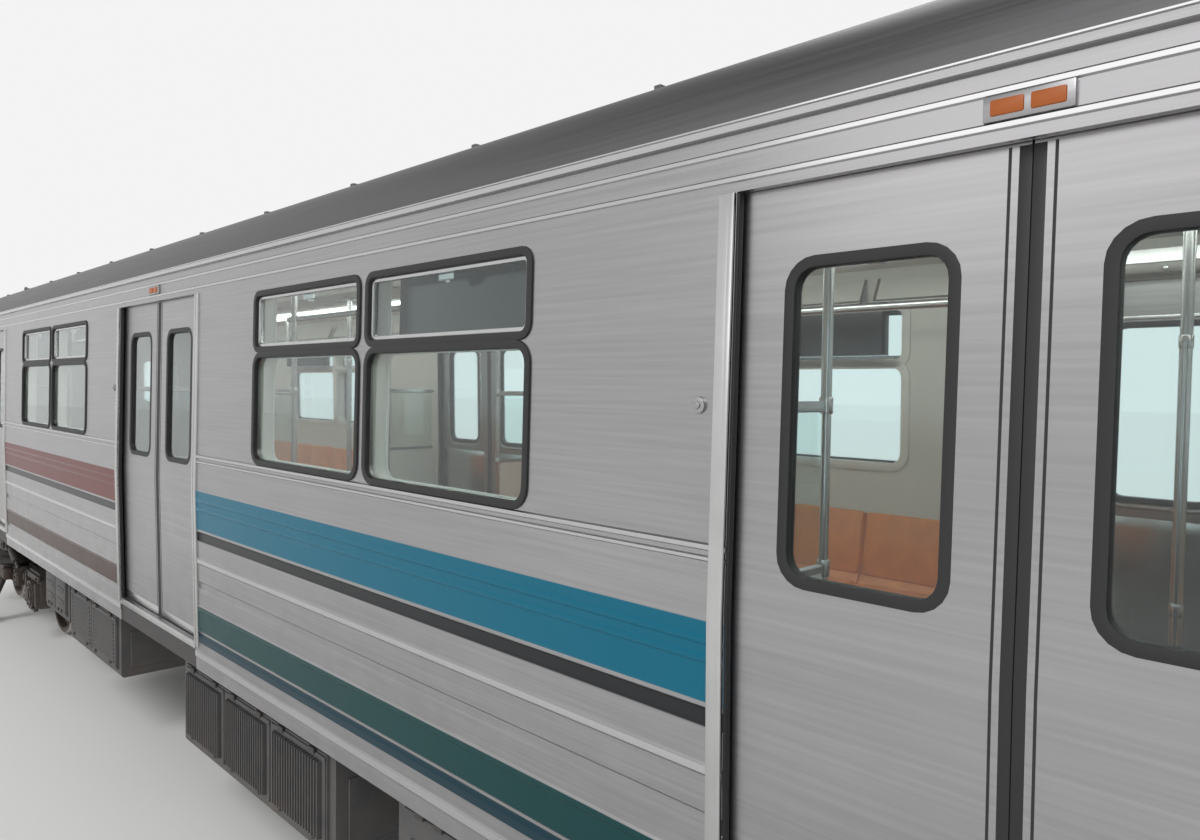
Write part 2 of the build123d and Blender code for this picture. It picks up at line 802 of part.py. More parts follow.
light_y = 560
light_half_width = 70
light_drop = 34
light_end_gap = 270
light_joint_gap = 100
lights_in_row = 3


def lamp_lenses():
    """Ceiling light diffusers in two rows, a cab light, and the lenses of the end lamps."""
    low = cant_z - ceiling_thickness
    inner, outer = light_y - light_half_width, light_y + light_half_width
    profile = [(inner, low), (inner + 20, low - light_drop), (outer - 20, low - light_drop), (outer, low)]
    first = -side_half_length + light_end_gap
    length = (partition_x - light_end_gap - first + light_joint_gap) / lights_in_row - light_joint_gap
    lenses = []
    for index in range(lights_in_row):
        x_low = first + index * (length + light_joint_gap)
        lens = prism_x(profile, x_low, x_low + length)
        lenses += [lens, to_right(lens)]
    cab_middle = (partition_x + side_half_length) / 2
    lenses.append(box(cab_middle - 200, cab_middle + 200, -150, 150, low - duct_drop - 25, low - duct_drop))
    for side in (-1, 1):
        for y in lamp_ys:
            radius = (lamp_radius if y == lamp_ys[0] else 62) - seat_gap
            lens = cylinder_x(side * y, floor_z + lamp_z_above_floor, radius,
                              body_half_length - 30, body_half_length - 4)
            lenses += [lens, turned(lens)]
    return lenses


seat_place_width = 435
seat_groove_depth = 10
seat_groove_half_width = 8


def bench(x_low, x_high):
    """A moulded bench on the left side: a curved seat that turns up into its back, over a heater box."""
    wall = half_width - wall_thickness - 22
    seat = floor_z + bench_height
    back = floor_z + bench_back_height
    front_y = wall - bench_depth
    sitting = [(wall - shell_thickness, back), (wall - 75, seat + 60), (wall - 110, seat),
               (front_y + 60, seat + 8), (front_y, seat - 6)]
    outline = [(wall, back)] + sitting + [(front_y, seat - 46), (wall - 130, seat - 50),
                                          (wall - 130, floor_z), (wall, floor_z)]
    shell = prism_x(outline, x_low, x_high)
    depth = seat_groove_depth
    above = [(y - 30, z + 30) for y, z in sitting]
    below = [(y + depth, z - depth) for y, z in reversed(sitting)]
    groove = above + below + [(wall - shell_thickness + depth, back + 30)]
    places = int((x_high - x_low) / seat_place_width)
    for index in range(1, places):
        x = x_low + index * (x_high - x_low) / places
        shell -= prism_x(groove, x - seat_groove_half_width, x + seat_groove_half_width)
    return shell


def seats():
    """Benches between the doorways, a short pair behind the rear doors, and wall packing behind their backs."""
    clear = door_half_opening + 90
    spans = [(-door_pitch + clear, -clear), (clear, door_pitch - clear),
             (-side_half_length + 60, -door_pitch - clear)]
    benches = [bench(*span) for span in spans]
    return benches + [to_right(shape) for shape in benches]


rail_y = 700
rail_above_floor = 1830
rail_door_gap = 560
rail_end_gap = 250
rail_foot_inset = 60


screen_setback = 60
screen_post_y = 752
screen_post_radius = 16
screen_half_thickness = 9
screen_low_above_floor = 150
screen_middle_above_floor = 910
screen_top_above_floor = 1410
screen_bar = 24
screen_wall_gap = 3


def draught_screen(x):
    """A screen between a doorway and a bench on the left: a post, a steel panel and a bar over the glass."""
    outer = side_y(sill_top) - wall_thickness - screen_wall_gap
    half = screen_half_thickness
    screen = cylinder_z(x, screen_post_y, screen_post_radius, floor_z, cant_z - ceiling_thickness)
    screen += box(x - half, x + half, screen_post_y, outer, floor_z + screen_low_above_floor,
                  floor_z + screen_middle_above_floor)
    top = floor_z + screen_top_above_floor
    top_outer = side_y(top) - wall_thickness - screen_wall_gap
    screen += box(x - half, x + half, screen_post_y, top_outer, top - screen_bar, top)
    return screen


def draught_screens():
    """Screens at the ends of every bench that faces a doorway, on the left."""
    setback = door_half_opening + screen_setback
    middles = [sign * setback for sign in (-1, 1)]
    outer = [sign * (door_pitch - setback) for sign in (-1, 1)]
    return [draught_screen(x) for x in middles + outer + [-door_pitch - setback]]


def hand_rails():
    """Poles from floor to ceiling, and rails over the bench fronts hung from the ceiling."""
    ceiling = cant_z - ceiling_thickness
    duct_low = ceiling - duct_drop
    solids = [cylinder_z(x, 0, pole_radius, floor_z, duct_low) for x in door_centres.values()]
    rail_z = floor_z + rail_above_floor
    spans = [(-door_pitch + rail_door_gap, -rail_door_gap), (rail_door_gap, door_pitch - rail_door_gap),
             (-side_half_length + rail_end_gap, -door_pitch - rail_door_gap)]
    rails = []
    for x_low, x_high in spans:
        rail = cylinder_x(rail_y, rail_z, pole_radius, x_low, x_high)
        for x in (x_low + rail_foot_inset, (x_low + x_high) / 2, x_high - rail_foot_inset):
            rail += cylinder_z(x, rail_y, pole_radius - 3, rail_z, ceiling)
        rails.append(rail)
    solids += rails + [to_right(rail) for rail in rails]
    return solids


def end_handle(y, x_face):
    """A grab handle on an end face: a bar that stands off on two feet."""
    x = x_face + 55
    bar = cylinder_z(x, y, 14, floor_z + 250, floor_z + 950)
    for z in (floor_z + 275, floor_z + 925):
        bar += cylinder_x(y, z, 12, x_face, x)
    return bar


gate_y = 1190
gate_reach = 150
gate_low_above_floor = 180
gate_high_above_floor = 1180


def end_gate(y, x_face):
    """A folding safety gate beside the gangway: two uprights and crossed links."""
    bottom = floor_z + gate_low_above_floor
    top = floor_z + gate_high_above_floor
    x_out = x_face + gate_reach
    gate = box(x_face, x_face + 30, y - 20, y + 20, bottom, top)
    gate += cylinder_z(x_out, y, 16, bottom, top)
    levels = 3
    pitch = (top - bottom - 80) / levels
    for index in range(levels):
        z_low = bottom + 40 + index * pitch
        for z_near, z_far in ((z_low, z_low + pitch), (z_low + pitch, z_low)):
            points = [(x_face + 10, z_near - 12), (x_face + 10, z_near + 12),
                      (x_out, z_far + 12), (x_out, z_far - 12)]
            gate += prism_y(points, y - 6, y + 6)
    return gate


def end_hardware():
    handles = [end_handle(side * (end_door_half_opening + 70), body_half_length) for side in (-1, 1)]
    gates = [end_gate(side * gate_y, body_half_length) for side in (-1, 1)]
    return handles + [turned(shape) for shape in handles] + [turned(shape) for shape in gates]


cab_door_half_opening = 310
cab_pane_y = -700
cab_pane_above_floor = 1450
cab_pane_width = 420
cab_pane_height = 500
knuckle_radius = 13
knuckle_length = 70
knuckle_heights = (250, 1000, 1750)


def cab_partition():
    """The wall between saloon and cab, with its doorway and the fixed half of each hinge."""
    inner = side_y(cant_z) - wall_thickness
    ceiling = cant_z - ceiling_thickness
    wall = box(partition_x, partition_x + partition_thickness, -inner + 2, inner - 2, floor_z, ceiling)
    wall -= box(partition_x - 1, partition_x + partition_thickness + 1, -duct_half_width - duct_slope,
                duct_half_width + duct_slope, ceiling - duct_drop, ceiling + 1)
    wall -= box(partition_x - 1, partition_x + partition_thickness + 1, -cab_door_half_opening,
                cab_door_half_opening, floor_z - 1, door_head_z)
    wall -= round_box_x(cab_pane_y, floor_z + cab_pane_above_floor, cab_pane_width, cab_pane_height, 50,
                        partition_x - 1, partition_x + partition_thickness + 1)
    axis_x = partition_x + partition_thickness + knuckle_radius + 2
    axis_y = cab_door_half_opening
    for height in knuckle_heights:
        z = floor_z + height
        above = z + knuckle_length + seat_gap
        for low, high in ((z - knuckle_length, z - seat_gap), (above, z + 2 * knuckle_length)):
            wall += cylinder_z(axis_x, axis_y, knuckle_radius, low, high)
            wall += box(partition_x + partition_thickness - 1, axis_x, axis_y + 3, axis_y + knuckle_radius,
                        low, high)
    return wall


def cab_door():
    """The cab door, hinged at its left edge, with the moving half of each hinge."""
    axis_x = partition_x + partition_thickness + knuckle_radius + 2
    axis_y = cab_door_half_opening
    x_high = partition_x + partition_thickness
    door = box(x_high - 26, x_high, -cab_door_half_opening + 6, cab_door_half_opening - 6,
               floor_z + leaf_foot_gap, door_head_z - 6)
    for height in knuckle_heights:
        low = floor_z + height
        door += cylinder_z(axis_x, axis_y, knuckle_radius, low, low + knuckle_length)
        door += box(x_high - 1, axis_x, axis_y - knuckle_radius, axis_y - 7, low, low + knuckle_length)
    return door


desk_width = 660
desk_wall_gap = 80
desk_outer_y = half_width - wall_thickness - desk_wall_gap
desk_inner_y = desk_outer_y - desk_width
desk_height = 1000
desk_shelf_depth = 90
desk_slope = (330, 830)
desk_lip = (400, 790, 740)
desk_leg = (250, 700)
driver_seat_gap = 720
driver_seat_height = 460
driver_seat_half_width = 210
driver_cushion = 80
driver_back_height = 560
driver_foot_radius = 190
driver_foot_height = 25
driver_post_radius = 45


def cab_desk():
    """The driver's console on the right, and the seat behind it."""
    x_back = body_half_length - face_thickness - 8
    lip_depth, lip_top, lip_foot = desk_lip
    steps = [(0, 0), (0, desk_height), (desk_shelf_depth, desk_height), desk_slope, (lip_depth, lip_top),
             (lip_depth, lip_foot), desk_leg, (desk_leg[0], 0)]
    outline = [(x_back - depth, floor_z + height) for depth, height in steps]
    desk = prism_y(outline, -desk_outer_y, -desk_inner_y)
    seat_x = x_back - driver_seat_gap
    seat_y = -(desk_inner_y + desk_outer_y) / 2
    half = driver_seat_half_width
    low = floor_z + driver_seat_height
    foot = floor_z + driver_foot_height
    seat = cylinder_z(seat_x, seat_y, driver_post_radius, foot, low + 10)
    seat += cylinder_z(seat_x, seat_y, driver_foot_radius, floor_z, foot)
    cushion = box(seat_x - half - 10, seat_x + half - 10, seat_y - half, seat_y + half, low,
                  low + driver_cushion)
    seat += fillet(cushion.edges().filter_by(Axis.Z), 60)
    back_rest = box(seat_x - half - 70, seat_x - half, seat_y - half + 10, seat_y + half - 10,
                    low + driver_cushion / 2, low + driver_back_height)
    seat += fillet(back_rest.edges().filter_by(Axis.X), 60)
    return [desk, seat]


def sign_boxes():
    """Blank route signs: one over each gangway door and one behind a hopper pane in each side bay."""
    front_sign = round_box_x(0, sign_z, sign_width - 2 * seat_gap, sign_height - 2 * seat_gap, 20 - seat_gap,
                             body_half_length - 30, body_half_length - 6)
    solids = [front_sign, turned(front_sign)]
    low = floor_z + transom_above_floor + transom_height / 2 + 25
    high = floor_z + window_head_above_floor + 30
    inner = side_y(high) - wall_thickness - 70
    outline = side_path(wall_thickness, low, high) + [(inner, high), (inner, low)]
    for sign in (-1, 1):
        x = sign * (door_pitch + window_width + window_pier) / 2
        case = prism_x(outline, x - 420, x + 420)
        solids += [case, to_right(case)]
    return solids


# Underfloor cases: name, middle and length as shares of the truck centre distance, side, inner and outer Y,
# height, and what its lid carries
equipment_table = (
    ("inverter", -0.210, 0.346, 1, 380, 1190, 540, "fins"),
    ("battery", 0.319, 0.246, 1, 420, 1190, 480, "louvres"),
    ("brake panel", 0.556, 0.146, 1, 420, 1150, 420, "plain"),
    ("supply", -0.556, 0.164, 1, 380, 1170, 500, "plain"),
    ("resistor", 0.346, 0.365, -1, 520, 1180, 400, "louvres"),
    ("compressor", -0.064, 0.219, -1, 420, 1120, 460, "fins"),
    ("control box", -0.419, 0.273, -1, 420, 1190, 520, "plain"),
)
strap_height = 40
strap_half_width = 30
strap_share = 0.32
tank_radius = 150
tank_drop = 30
tank_half_length = 550
tank_places = (0, 0.474)


lid_margin = 60
lid_rise = 12
lid_door_width = 550
fin_pitch = 28
fin_thickness = 8
fin_reach = 26
louvre_pitch = 30
louvre_reach = 14


def lid_doors(x_low, x_high):
    """The ends of each door of a lid."""
    count = max(2, round((x_high - x_low) / lid_door_width))
    width = (x_high - x_low) / count
    return [(x_low + index * width, x_low + (index + 1) * width) for index in range(count)]


def fin_row(x_low, x_high, y, z_low, z_high):
    """Upright cooling fins on a lid's face at y, as one comb outline."""
    comb = [(x_low, y - 2)]
    for index in range(int((x_high - x_low - fin_thickness) / fin_pitch) + 1):
        x = x_low + index * fin_pitch
        comb += [(x, y), (x, y + fin_reach), (x + fin_thickness, y + fin_reach), (x + fin_thickness, y)]
    comb.append((comb[-1][0], y - 2))
    outline = make_face(Polyline(*comb, close=True))
    return extrude(Plane.XY.offset(z_low) * outline, amount=z_high - z_low)


def louvre_row(x_low, x_high, y, z_low, z_high):
    """Slanting louvres on a lid's face at y, as one saw outline."""
    saw = [(y - 2, z_low)]
    for index in range(int((z_high - z_low) / louvre_pitch)):
        z = z_low + index * louvre_pitch
        saw += [(y, z + 2), (y + louvre_reach, z + 6), (y + louvre_reach, z + 10), (y, z + 22)]
    saw.append((y - 2, saw[-1][1] + 2))
    return prism_x(saw, x_low, x_high)


def equipment_case(x, length, side, y_inner, y_outer, height, lid):
    """A case under two straps that hang it from the centre sill and side sill, with a raised lid outside."""
    top = sill_bottom - strap_height
    case = box(x - length / 2, x + length / 2, y_inner, y_outer, top - height, top)
    case = fillet(case.edges().filter_by(Axis.X), 24)
    sill_inner = side_y(sill_top) - wall_thickness
    for share in (-strap_share, strap_share):
        middle = x + share * length
        case += box(middle - strap_half_width, middle + strap_half_width, centre_sill_half_width - strap_height,
                    sill_inner + strap_height, top - 5, sill_bottom)
    lid_ends = (x - length / 2 + lid_margin, x + length / 2 - lid_margin)
    case += box(*lid_ends, y_outer - 5, y_outer + lid_rise, top - height + 50, top - 50)
    dress = {"fins": fin_row, "louvres": louvre_row}.get(lid)
    if dress:
        for x_low, x_high in lid_doors(*lid_ends):
            case += dress(x_low + 50, x_high - 50, y_outer + lid_rise, top - height + 90, top - 90)
    return case if side > 0 else to_right(case)


def air_tank(x):
    tank = cylinder_x(0, sill_bottom - tank_radius - tank_drop, tank_radius,
                      x - tank_half_length, x + tank_half_length)
    tank = fillet(tank.edges().filter_by(GeomType.CIRCLE), 0.4 * tank_radius)
    for strap in (-0.64, 0.64):
        middle = x + strap * tank_half_length
        tank += box(middle - 25, middle + 25, -60, 60, sill_bottom - 2 * tank_drop, sill_bottom)
    return tank


def underfloor_boxes():
    cases = [equipment_case(place * truck_centre, share * truck_centre, *rest)
             for _, place, share, *rest in equipment_table]
    return cases + [air_tank(share * truck_centre) for share in tank_places]


# Trucks, modelled about their own centre and then moved to each end

def wheelset():
    """Two flanged wheels on their axle, as one turned outline about the axle."""
    inner, outer = wheel_inner_y, wheel_inner_y + wheel_width
    flange = tread_radius + flange_height
    half = [
        (0, axle_radius),
        (inner - 12, axle_radius),
        (inner - 12, 128),
        (inner + 42, 140),
        (inner + 50, 362),
        (inner, 376),
        (inner, flange - 14),
        (inner + 8, flange - 3),
        (inner + 16, flange),
        (inner + 26, flange - 8),
        (inner + 34, tread_radius + 3),
        (outer - 5, tread_radius - 3),
        (outer, tread_radius - 8),
        (outer, 376),
        (inner + 84, 362),
        (inner + 76, 140),
        (outer - 10, 126),
        (outer - 10, axle_radius),
        (journal_start_y, axle_radius),
        (journal_start_y, journal_radius),
        (journal_end_y, journal_radius),
        (journal_end_y, 0),
    ]
    outline = half + [(-y, radius) for y, radius in reversed(half[1:])]
    face = Plane.YZ * make_face(Polyline(*outline, close=True))
    return revolve(face, Axis.Y, 360)


bolster_low = frame_top_z + spring_height
bolster_top = bolster_low + bolster_height
box_radius = 138
box_arch = 190
hump_rise = 90
frame_nose = 70
frame_depth = 170
transom_radius = 72
transom_x = 235
transom_z = 520
bolster_half_length = 200
bolster_half_width = 1150
bearer_y = 640
bearer_radius = 110


chevron_layers = 3
chevron_pitch = 19
chevron_thickness = 10
chevron_lean = 22
chevron_rise = 118
chevron_fall = 92
chevron_reach = 38


damper_y = 1104
damper_top = (235, bolster_low + 45)
damper_foot = (640, frame_top_z + 30)
damper_tube_radius = 34
damper_rod_radius = 15
damper_tube_share = 0.62
damper_eye_radius = 30
damper_pin_radius = 12
damper_lug_half = 30


def damper():
    """The slanting damper at the left front of the bolster, with its bracket and lower eye."""
    (x_top, z_top), (x_foot, z_foot) = damper_top, damper_foot
    run = sqrt((x_foot - x_top) ** 2 + (z_top - z_foot) ** 2)
    turn = degrees(atan2(x_foot - x_top, z_foot - z_top))
    along = Pos(x_top, damper_y, z_top) * Rot(0, turn, 0)
    tube = damper_tube_share * run
    body = along * Pos(0, 0, tube / 2) * Cylinder(damper_tube_radius, tube)
    body += along * Pos(0, 0, (tube + run) / 2) * Cylinder(damper_rod_radius, run - tube + 2)
    body += box(bolster_half_length - 60, x_top + damper_lug_half, damper_y - 44, damper_y + 41,
                bolster_low + 8, bolster_top - 6)
    body += cylinder_y(x_foot, z_foot, damper_eye_radius, damper_y - 28, damper_y + 28)
    return body - cylinder_y(x_foot, z_foot, damper_pin_radius + bearing_clearance,
                             damper_y - 40, damper_y + 40)


def damper_lug(outer_face):
    """The lug on the side frame whose pin goes through the damper's lower eye."""
    x, z = damper_foot
    lug = box(x - damper_lug_half, x + damper_lug_half, outer_face - 10, outer_face + 22,
              z - 90, z + damper_lug_half)
    return lug + cylinder_y(x, z, damper_pin_radius, outer_face + 20, damper_y + 34)


def side_frame():
    """The left side frame with axle boxes and covers, chevron springs beside them, damper lugs and bores."""
    inboard, outboard = half_wheelbase - box_arch, half_wheelbase + box_arch
    half = [
        (0, frame_top_z),
        (inboard - 2 * hump_rise, frame_top_z),
        (inboard, frame_top_z + hump_rise),
        (outboard, frame_top_z + hump_rise),
        (outboard + frame_nose, frame_top_z + hump_rise - frame_nose),
        (outboard + frame_nose, axle_z - box_radius + frame_nose),
        (outboard, axle_z - box_radius + 10),
        (inboard, axle_z - box_radius + 10),
        (inboard - frame_nose, axle_z - 40),
        (inboard - 3 * frame_nose, axle_z + 10),
        (0, frame_top_z - frame_depth),
    ]
    outline = [(-x, z) for x, z in reversed(half[1:-1])]
    frame = prism_y(half + outline, frame_y - frame_width / 2, frame_y + frame_width / 2)
    frame = fillet(frame.edges().filter_by(Axis.Y), 38)
    outer_face = frame_y + frame_width / 2
    lug = damper_lug(outer_face)
    frame += lug
    frame += mirror(lug, about=Plane.YZ)
    for sign in (-1, 1):
        x = sign * half_wheelbase
        for hand in (-1, 1):
            for layer in range(chevron_layers):
                near = x + hand * (box_radius + 4 + layer * chevron_pitch)
                far = near + hand * chevron_thickness
                plate = [(near - hand * chevron_lean, axle_z + chevron_rise), (far - hand * chevron_lean,
                         axle_z + chevron_rise), (far, axle_z - chevron_fall), (near, axle_z - chevron_fall)]
                frame += prism_y(plate, outer_face - 2, outer_face + chevron_reach)
        frame += cylinder_y(x, axle_z, box_radius, journal_start_y + 12, journal_end_y + 45)
        frame += cylinder_y(x, axle_z, box_radius - 28, journal_end_y + 44, journal_end_y + 58)
        frame -= cylinder_y(x, axle_z, journal_radius + bearing_clearance, journal_start_y, journal_end_y + 2)
    return frame


def truck_frame():
    """Side frames and transoms as one casting, and the bolster that rides on the air springs."""
    left = side_frame()
    frame = left + to_right(left)
    inner = frame_y - frame_width / 2
    for sign in (-1, 1):
        frame += cylinder_y(sign * transom_x, transom_z, transom_radius, -inner - 5, inner + 5)
        for side in (-1, 1):
            frame += brake_unit(sign, side)
    bolster = box(-bolster_half_length, bolster_half_length, -bolster_half_width, bolster_half_width,
                  bolster_low, bolster_top)
    bolster = fillet(bolster.edges().filter_by(Axis.Z), 60)
    bolster -= cylinder_z(0, 0, pivot_radius + bearing_clearance, bolster_top - 60, bolster_top + 1)
    for side in (-1, 1):
        bolster += cylinder_z(0, side * bearer_y, bearer_radius, bolster_top - 5, sill_bottom - seat_gap)
    strut = damper()
    for shape in (strut, mirror(strut, about=Plane.YZ)):
        bolster += shape
        bolster += to_right(shape)
    return [frame, bolster]


shoe_gap = 8
shoe_thickness = 45
brake_cylinder_radius = 82


def brake_unit(end, side):
    """A tread brake on a transom: its cylinder body, and the curved block that faces the wheel."""
    inner = wheel_inner_y + 42
    outer = wheel_inner_y + wheel_width - 4
    radius = tread_radius + shoe_gap
    ring = Circle(radius + shoe_thickness) - Circle(radius)
    block = extrude(Plane.XZ.offset(-outer) * Pos(half_wheelbase, axle_z) * ring, amount=outer - inner)
    block &= box(half_wheelbase - radius - shoe_thickness, half_wheelbase - radius + 60, inner, outer,
                 axle_z - 170, axle_z + 170)
    body = box(transom_x, half_wheelbase - radius - shoe_thickness + 12, inner + 8, outer - 8,
               axle_z - 55, axle_z + 75)
    middle = (inner + outer) / 2
    body += cylinder_x(middle, axle_z + 10, brake_cylinder_radius, transom_x + 95, transom_x + 225)
    unit = block + body
    if side < 0:
        unit = to_right(unit)
    return unit if end == front else mirror(unit, about=Plane.YZ)


def air_springs():
    """A bellows with two folds over a foot, at each side of the truck."""
    low = frame_top_z
    top = bolster_low
    fold = (top - low) / 2
    outline = Polyline((0, low), (150, low), (205, low + 18), (248, low + fold / 2), (205, low + fold),
                       (248, low + 1.5 * fold), (205, top - 12), (150, top), (0, top), close=True)
    spring = revolve(Plane.XZ * make_face(outline), Axis.Z, 360)
    return [Pos(0, side * frame_y, 0) * spring for side in (-1, 1)]


motor_x = 590
motor_z = 478
motor_radius = 195


def drive_unit():
    """The forward motor with the gear case that reaches over the axle."""
    motor = cylinder_y(motor_x, motor_z, motor_radius, -330, 130)
    motor = fillet(motor.edges().filter_by(GeomType.CIRCLE), 25)
    motor += cylinder_y(motor_x, motor_z, 120, 100, 170)
    for rib in (-250, -150, -50, 50):
        motor += cylinder_y(motor_x, motor_z, motor_radius + 8, rib, rib + 22)
    case = cylinder_y(half_wheelbase, axle_z, 215, 160, 330)
    case += cylinder_y(motor_x, motor_z, 150, 160, 330)
    bridge = [(motor_x, motor_z + 150), (half_wheelbase, axle_z + 215), (half_wheelbase, axle_z - 215),
              (motor_x, motor_z - 150)]
    case += prism_y(bridge, 160, 330)
    case -= cylinder_y(half_wheelbase, axle_z, axle_radius + bearing_clearance, 150, 340)
    nose = box(transom_x + transom_radius + seat_gap, motor_x - 100, -220, -60, transom_z - 60, transom_z + 60)
    terminals = box(motor_x - 120, motor_x + 60, -255, -65, motor_z, motor_z + motor_radius + 38)
    terminals = fillet(terminals.edges().filter_by(Axis.Y).sort_by(Axis.Z)[-2:], 16)
    return motor + case + nose + terminals


collector_half_length = 560
shoe_y = 1375
shoe_z = 118


def collector_gear():
    """The current collectors: an insulated beam along each side frame, with an arm and a shoe."""
    beam_y = frame_y + frame_width / 2
    beam_low = frame_top_z - frame_depth + 40
    beam = box(-collector_half_length, collector_half_length, beam_y, beam_y + 55, beam_low, beam_low + 90)
    beam = fillet(beam.edges().filter_by(Axis.Y), 20)
    arm_y = beam_y + 50
    arm = [(arm_y, beam_low + 70), (arm_y, beam_low + 10), (arm_y + 120, shoe_z + 72), (shoe_y, shoe_z + 22),
           (shoe_y, shoe_z + 47), (arm_y + 140, shoe_z + 112), (arm_y + 60, beam_low + 50)]
    beam += prism_x(arm, -45, 45)
    shoe = box(-130, 130, shoe_y - 120, shoe_y + 45, shoe_z, shoe_z + 24)
    shoe = fillet(shoe.edges().filter_by(Axis.Z), 40)
    left = beam + shoe
    return [left, to_right(left)]


def build_trucks():
    frame = truck_frame()
    springs = air_springs()
    drive = drive_unit()
    motors = [drive, turned(drive)]
    collectors = collector_gear()
    for end, direction in (("front", front), ("rear", rear)):
        move = Pos(direction * truck_centre, 0, 0)
        save(f"truck_frame_{end}", *[move * shape for shape in frame])
        save(f"air_springs_{end}", *[move * shape for shape in springs])
        save(f"motors_{end}", *[move * shape for shape in motors])
        save(f"collector_gear_{end}", *[move * shape for shape in collectors])
    axle = wheelset()
    places = [direction * truck_centre + step * half_wheelbase
              for direction in (rear, front) for step in (-1, 1)]
    for number, x in enumerate(places, start=1):
        save(f"wheelset_{number}", Pos(x, 0, axle_z) * axle)


# Couplers

head_length = 260
head_half_width = 170
head_half_height = 135
head_taper = 120
drawbar_half = 55
collar_half_length = 60
contact_box_reach = (-230, -15)
contact_box_half_width = 150
contact_box_drop = 260
cover_margin = 35
cover_half_width = 130
cover_height = 13
lock_disc_radius = 55
cheek_proud = 10
cheek_half_height = 75
pocket_y = 80
pocket_depth = 85
pocket_radii = (30, 55)
hook_pocket = (84, 140)
hook_radius = 34


def coupler():
    """The front coupler: an eye on the pin, the drawbar, and a flat-faced head with its contact box.

    The face has a round pocket that centres the other car's cone, and a slot with the hook inside.
    """
    eye_half = clevis_half_gap - 5
    head_back = coupler_face_x - head_length
    head_top = coupler_z + head_half_height
    body = cylinder_z(coupler_pivot_x, 0, 75, coupler_z - eye_half, coupler_z + eye_half)
    body += box(coupler_pivot_x + 30, head_back, -drawbar_half, drawbar_half, coupler_z - drawbar_half,
                coupler_z + drawbar_half)
    side_line = [(head_back - head_taper, drawbar_half + 15), (head_back, head_half_width),
                 (coupler_face_x, head_half_width)]
    plan = Polyline(*side_line, *[(x, -y) for x, y in reversed(side_line)], close=True)
    head = extrude(Plane.XY * make_face(plan), amount=2 * head_half_height)
    body += Pos(0, 0, coupler_z - head_half_height) * head
    box_back, box_front = (coupler_face_x + reach for reach in contact_box_reach)
    body += box(box_back, box_front, -contact_box_half_width, contact_box_half_width,
                coupler_z - contact_box_drop, coupler_z - head_half_height + 5)
    cover = box(head_back + cover_margin, coupler_face_x - cover_margin, -cover_half_width, cover_half_width,
                head_top - 1, head_top + cover_height)
    body += fillet(cover.edges().filter_by(Axis.Z), 25)
    body += cylinder_z(coupler_face_x - head_length / 2 - 5, 0, lock_disc_radius, head_top + cover_height - 1,
                       head_top + 2 * cover_height + 1)
    for side in (-1, 1):
        cheek_y = sorted((side * (head_half_width - 2), side * (head_half_width + cheek_proud)))
        cheek = box(head_back + 15, coupler_face_x - 25, *cheek_y, coupler_z - cheek_half_height,
                    coupler_z + cheek_half_height)
        body += fillet(cheek.edges().filter_by(Axis.Y), 30)
    collar_x = (coupler_pivot_x + head_back) / 2
    body += box(collar_x - collar_half_length, collar_x + collar_half_length, -drawbar_half - 25,
                drawbar_half + 25, coupler_z - drawbar_half - 11, coupler_z + drawbar_half + 11)
    funnel = Rot(0, 90, 0) * Cone(*pocket_radii, pocket_depth)
    body -= Pos(coupler_face_x - pocket_depth / 2, -pocket_y, coupler_z) * funnel
    slot_width, slot_height = hook_pocket
    body -= round_box_x(pocket_y, coupler_z, slot_width, slot_height, 20, coupler_face_x - pocket_depth,
                        coupler_face_x + 1)
    body += cylinder_z(coupler_face_x - hook_radius - 8, pocket_y, hook_radius, coupler_z - slot_height / 2,
                       coupler_z + slot_height / 2)
    body -= cylinder_z(coupler_pivot_x, 0, coupler_pin_radius + bearing_clearance,
                       coupler_z - 100, coupler_z + 100)
    return body


# Write every node

panels = wall_panels()
save("side_panels", *panels, *[to_right(panel) for panel in panels])
rail = cant_rail()
save("cant_rails", rail, to_right(rail))
save("roof_shell", roof_shell())
save("roof_air_units", air_unit(-air_unit_x), air_unit(air_unit_x))
save("end_wall_front", end_wall(front))
save("end_wall_rear", end_wall(rear))
panes = side_glass()
save("window_glass", *panes, *[to_right(pane) for pane in panes], *end_glass(front), *end_glass(rear))
for end, direction in (("front", front), ("rear", rear)):
    save(f"end_door_{end}", end_door(direction))
    save(f"end_door_{end}_glass", end_door_glass(direction))
save("underframe", *underframe())
save("floor_deck", floor_deck())
save("ceiling_panel", ceiling_panel())
save("lamp_lenses", *lamp_lenses())
save("seats", *seats())
screens = draught_screens()
save("hand_rails", *hand_rails(), *end_hardware(), *screens, *[to_right(screen) for screen in screens])
save("cab_partition", cab_partition())
save("cab_door", cab_door())
save("cab_desk", *cab_desk())
save("sign_boxes", *sign_boxes())
save("underfloor_boxes", *underfloor_boxes())
build_side_doors()
build_trucks()
save("coupler_front", coupler())
save("coupler_rear", turned(coupler()))
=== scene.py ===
import bpy
import json
import math
from mathutils import Matrix, Vector


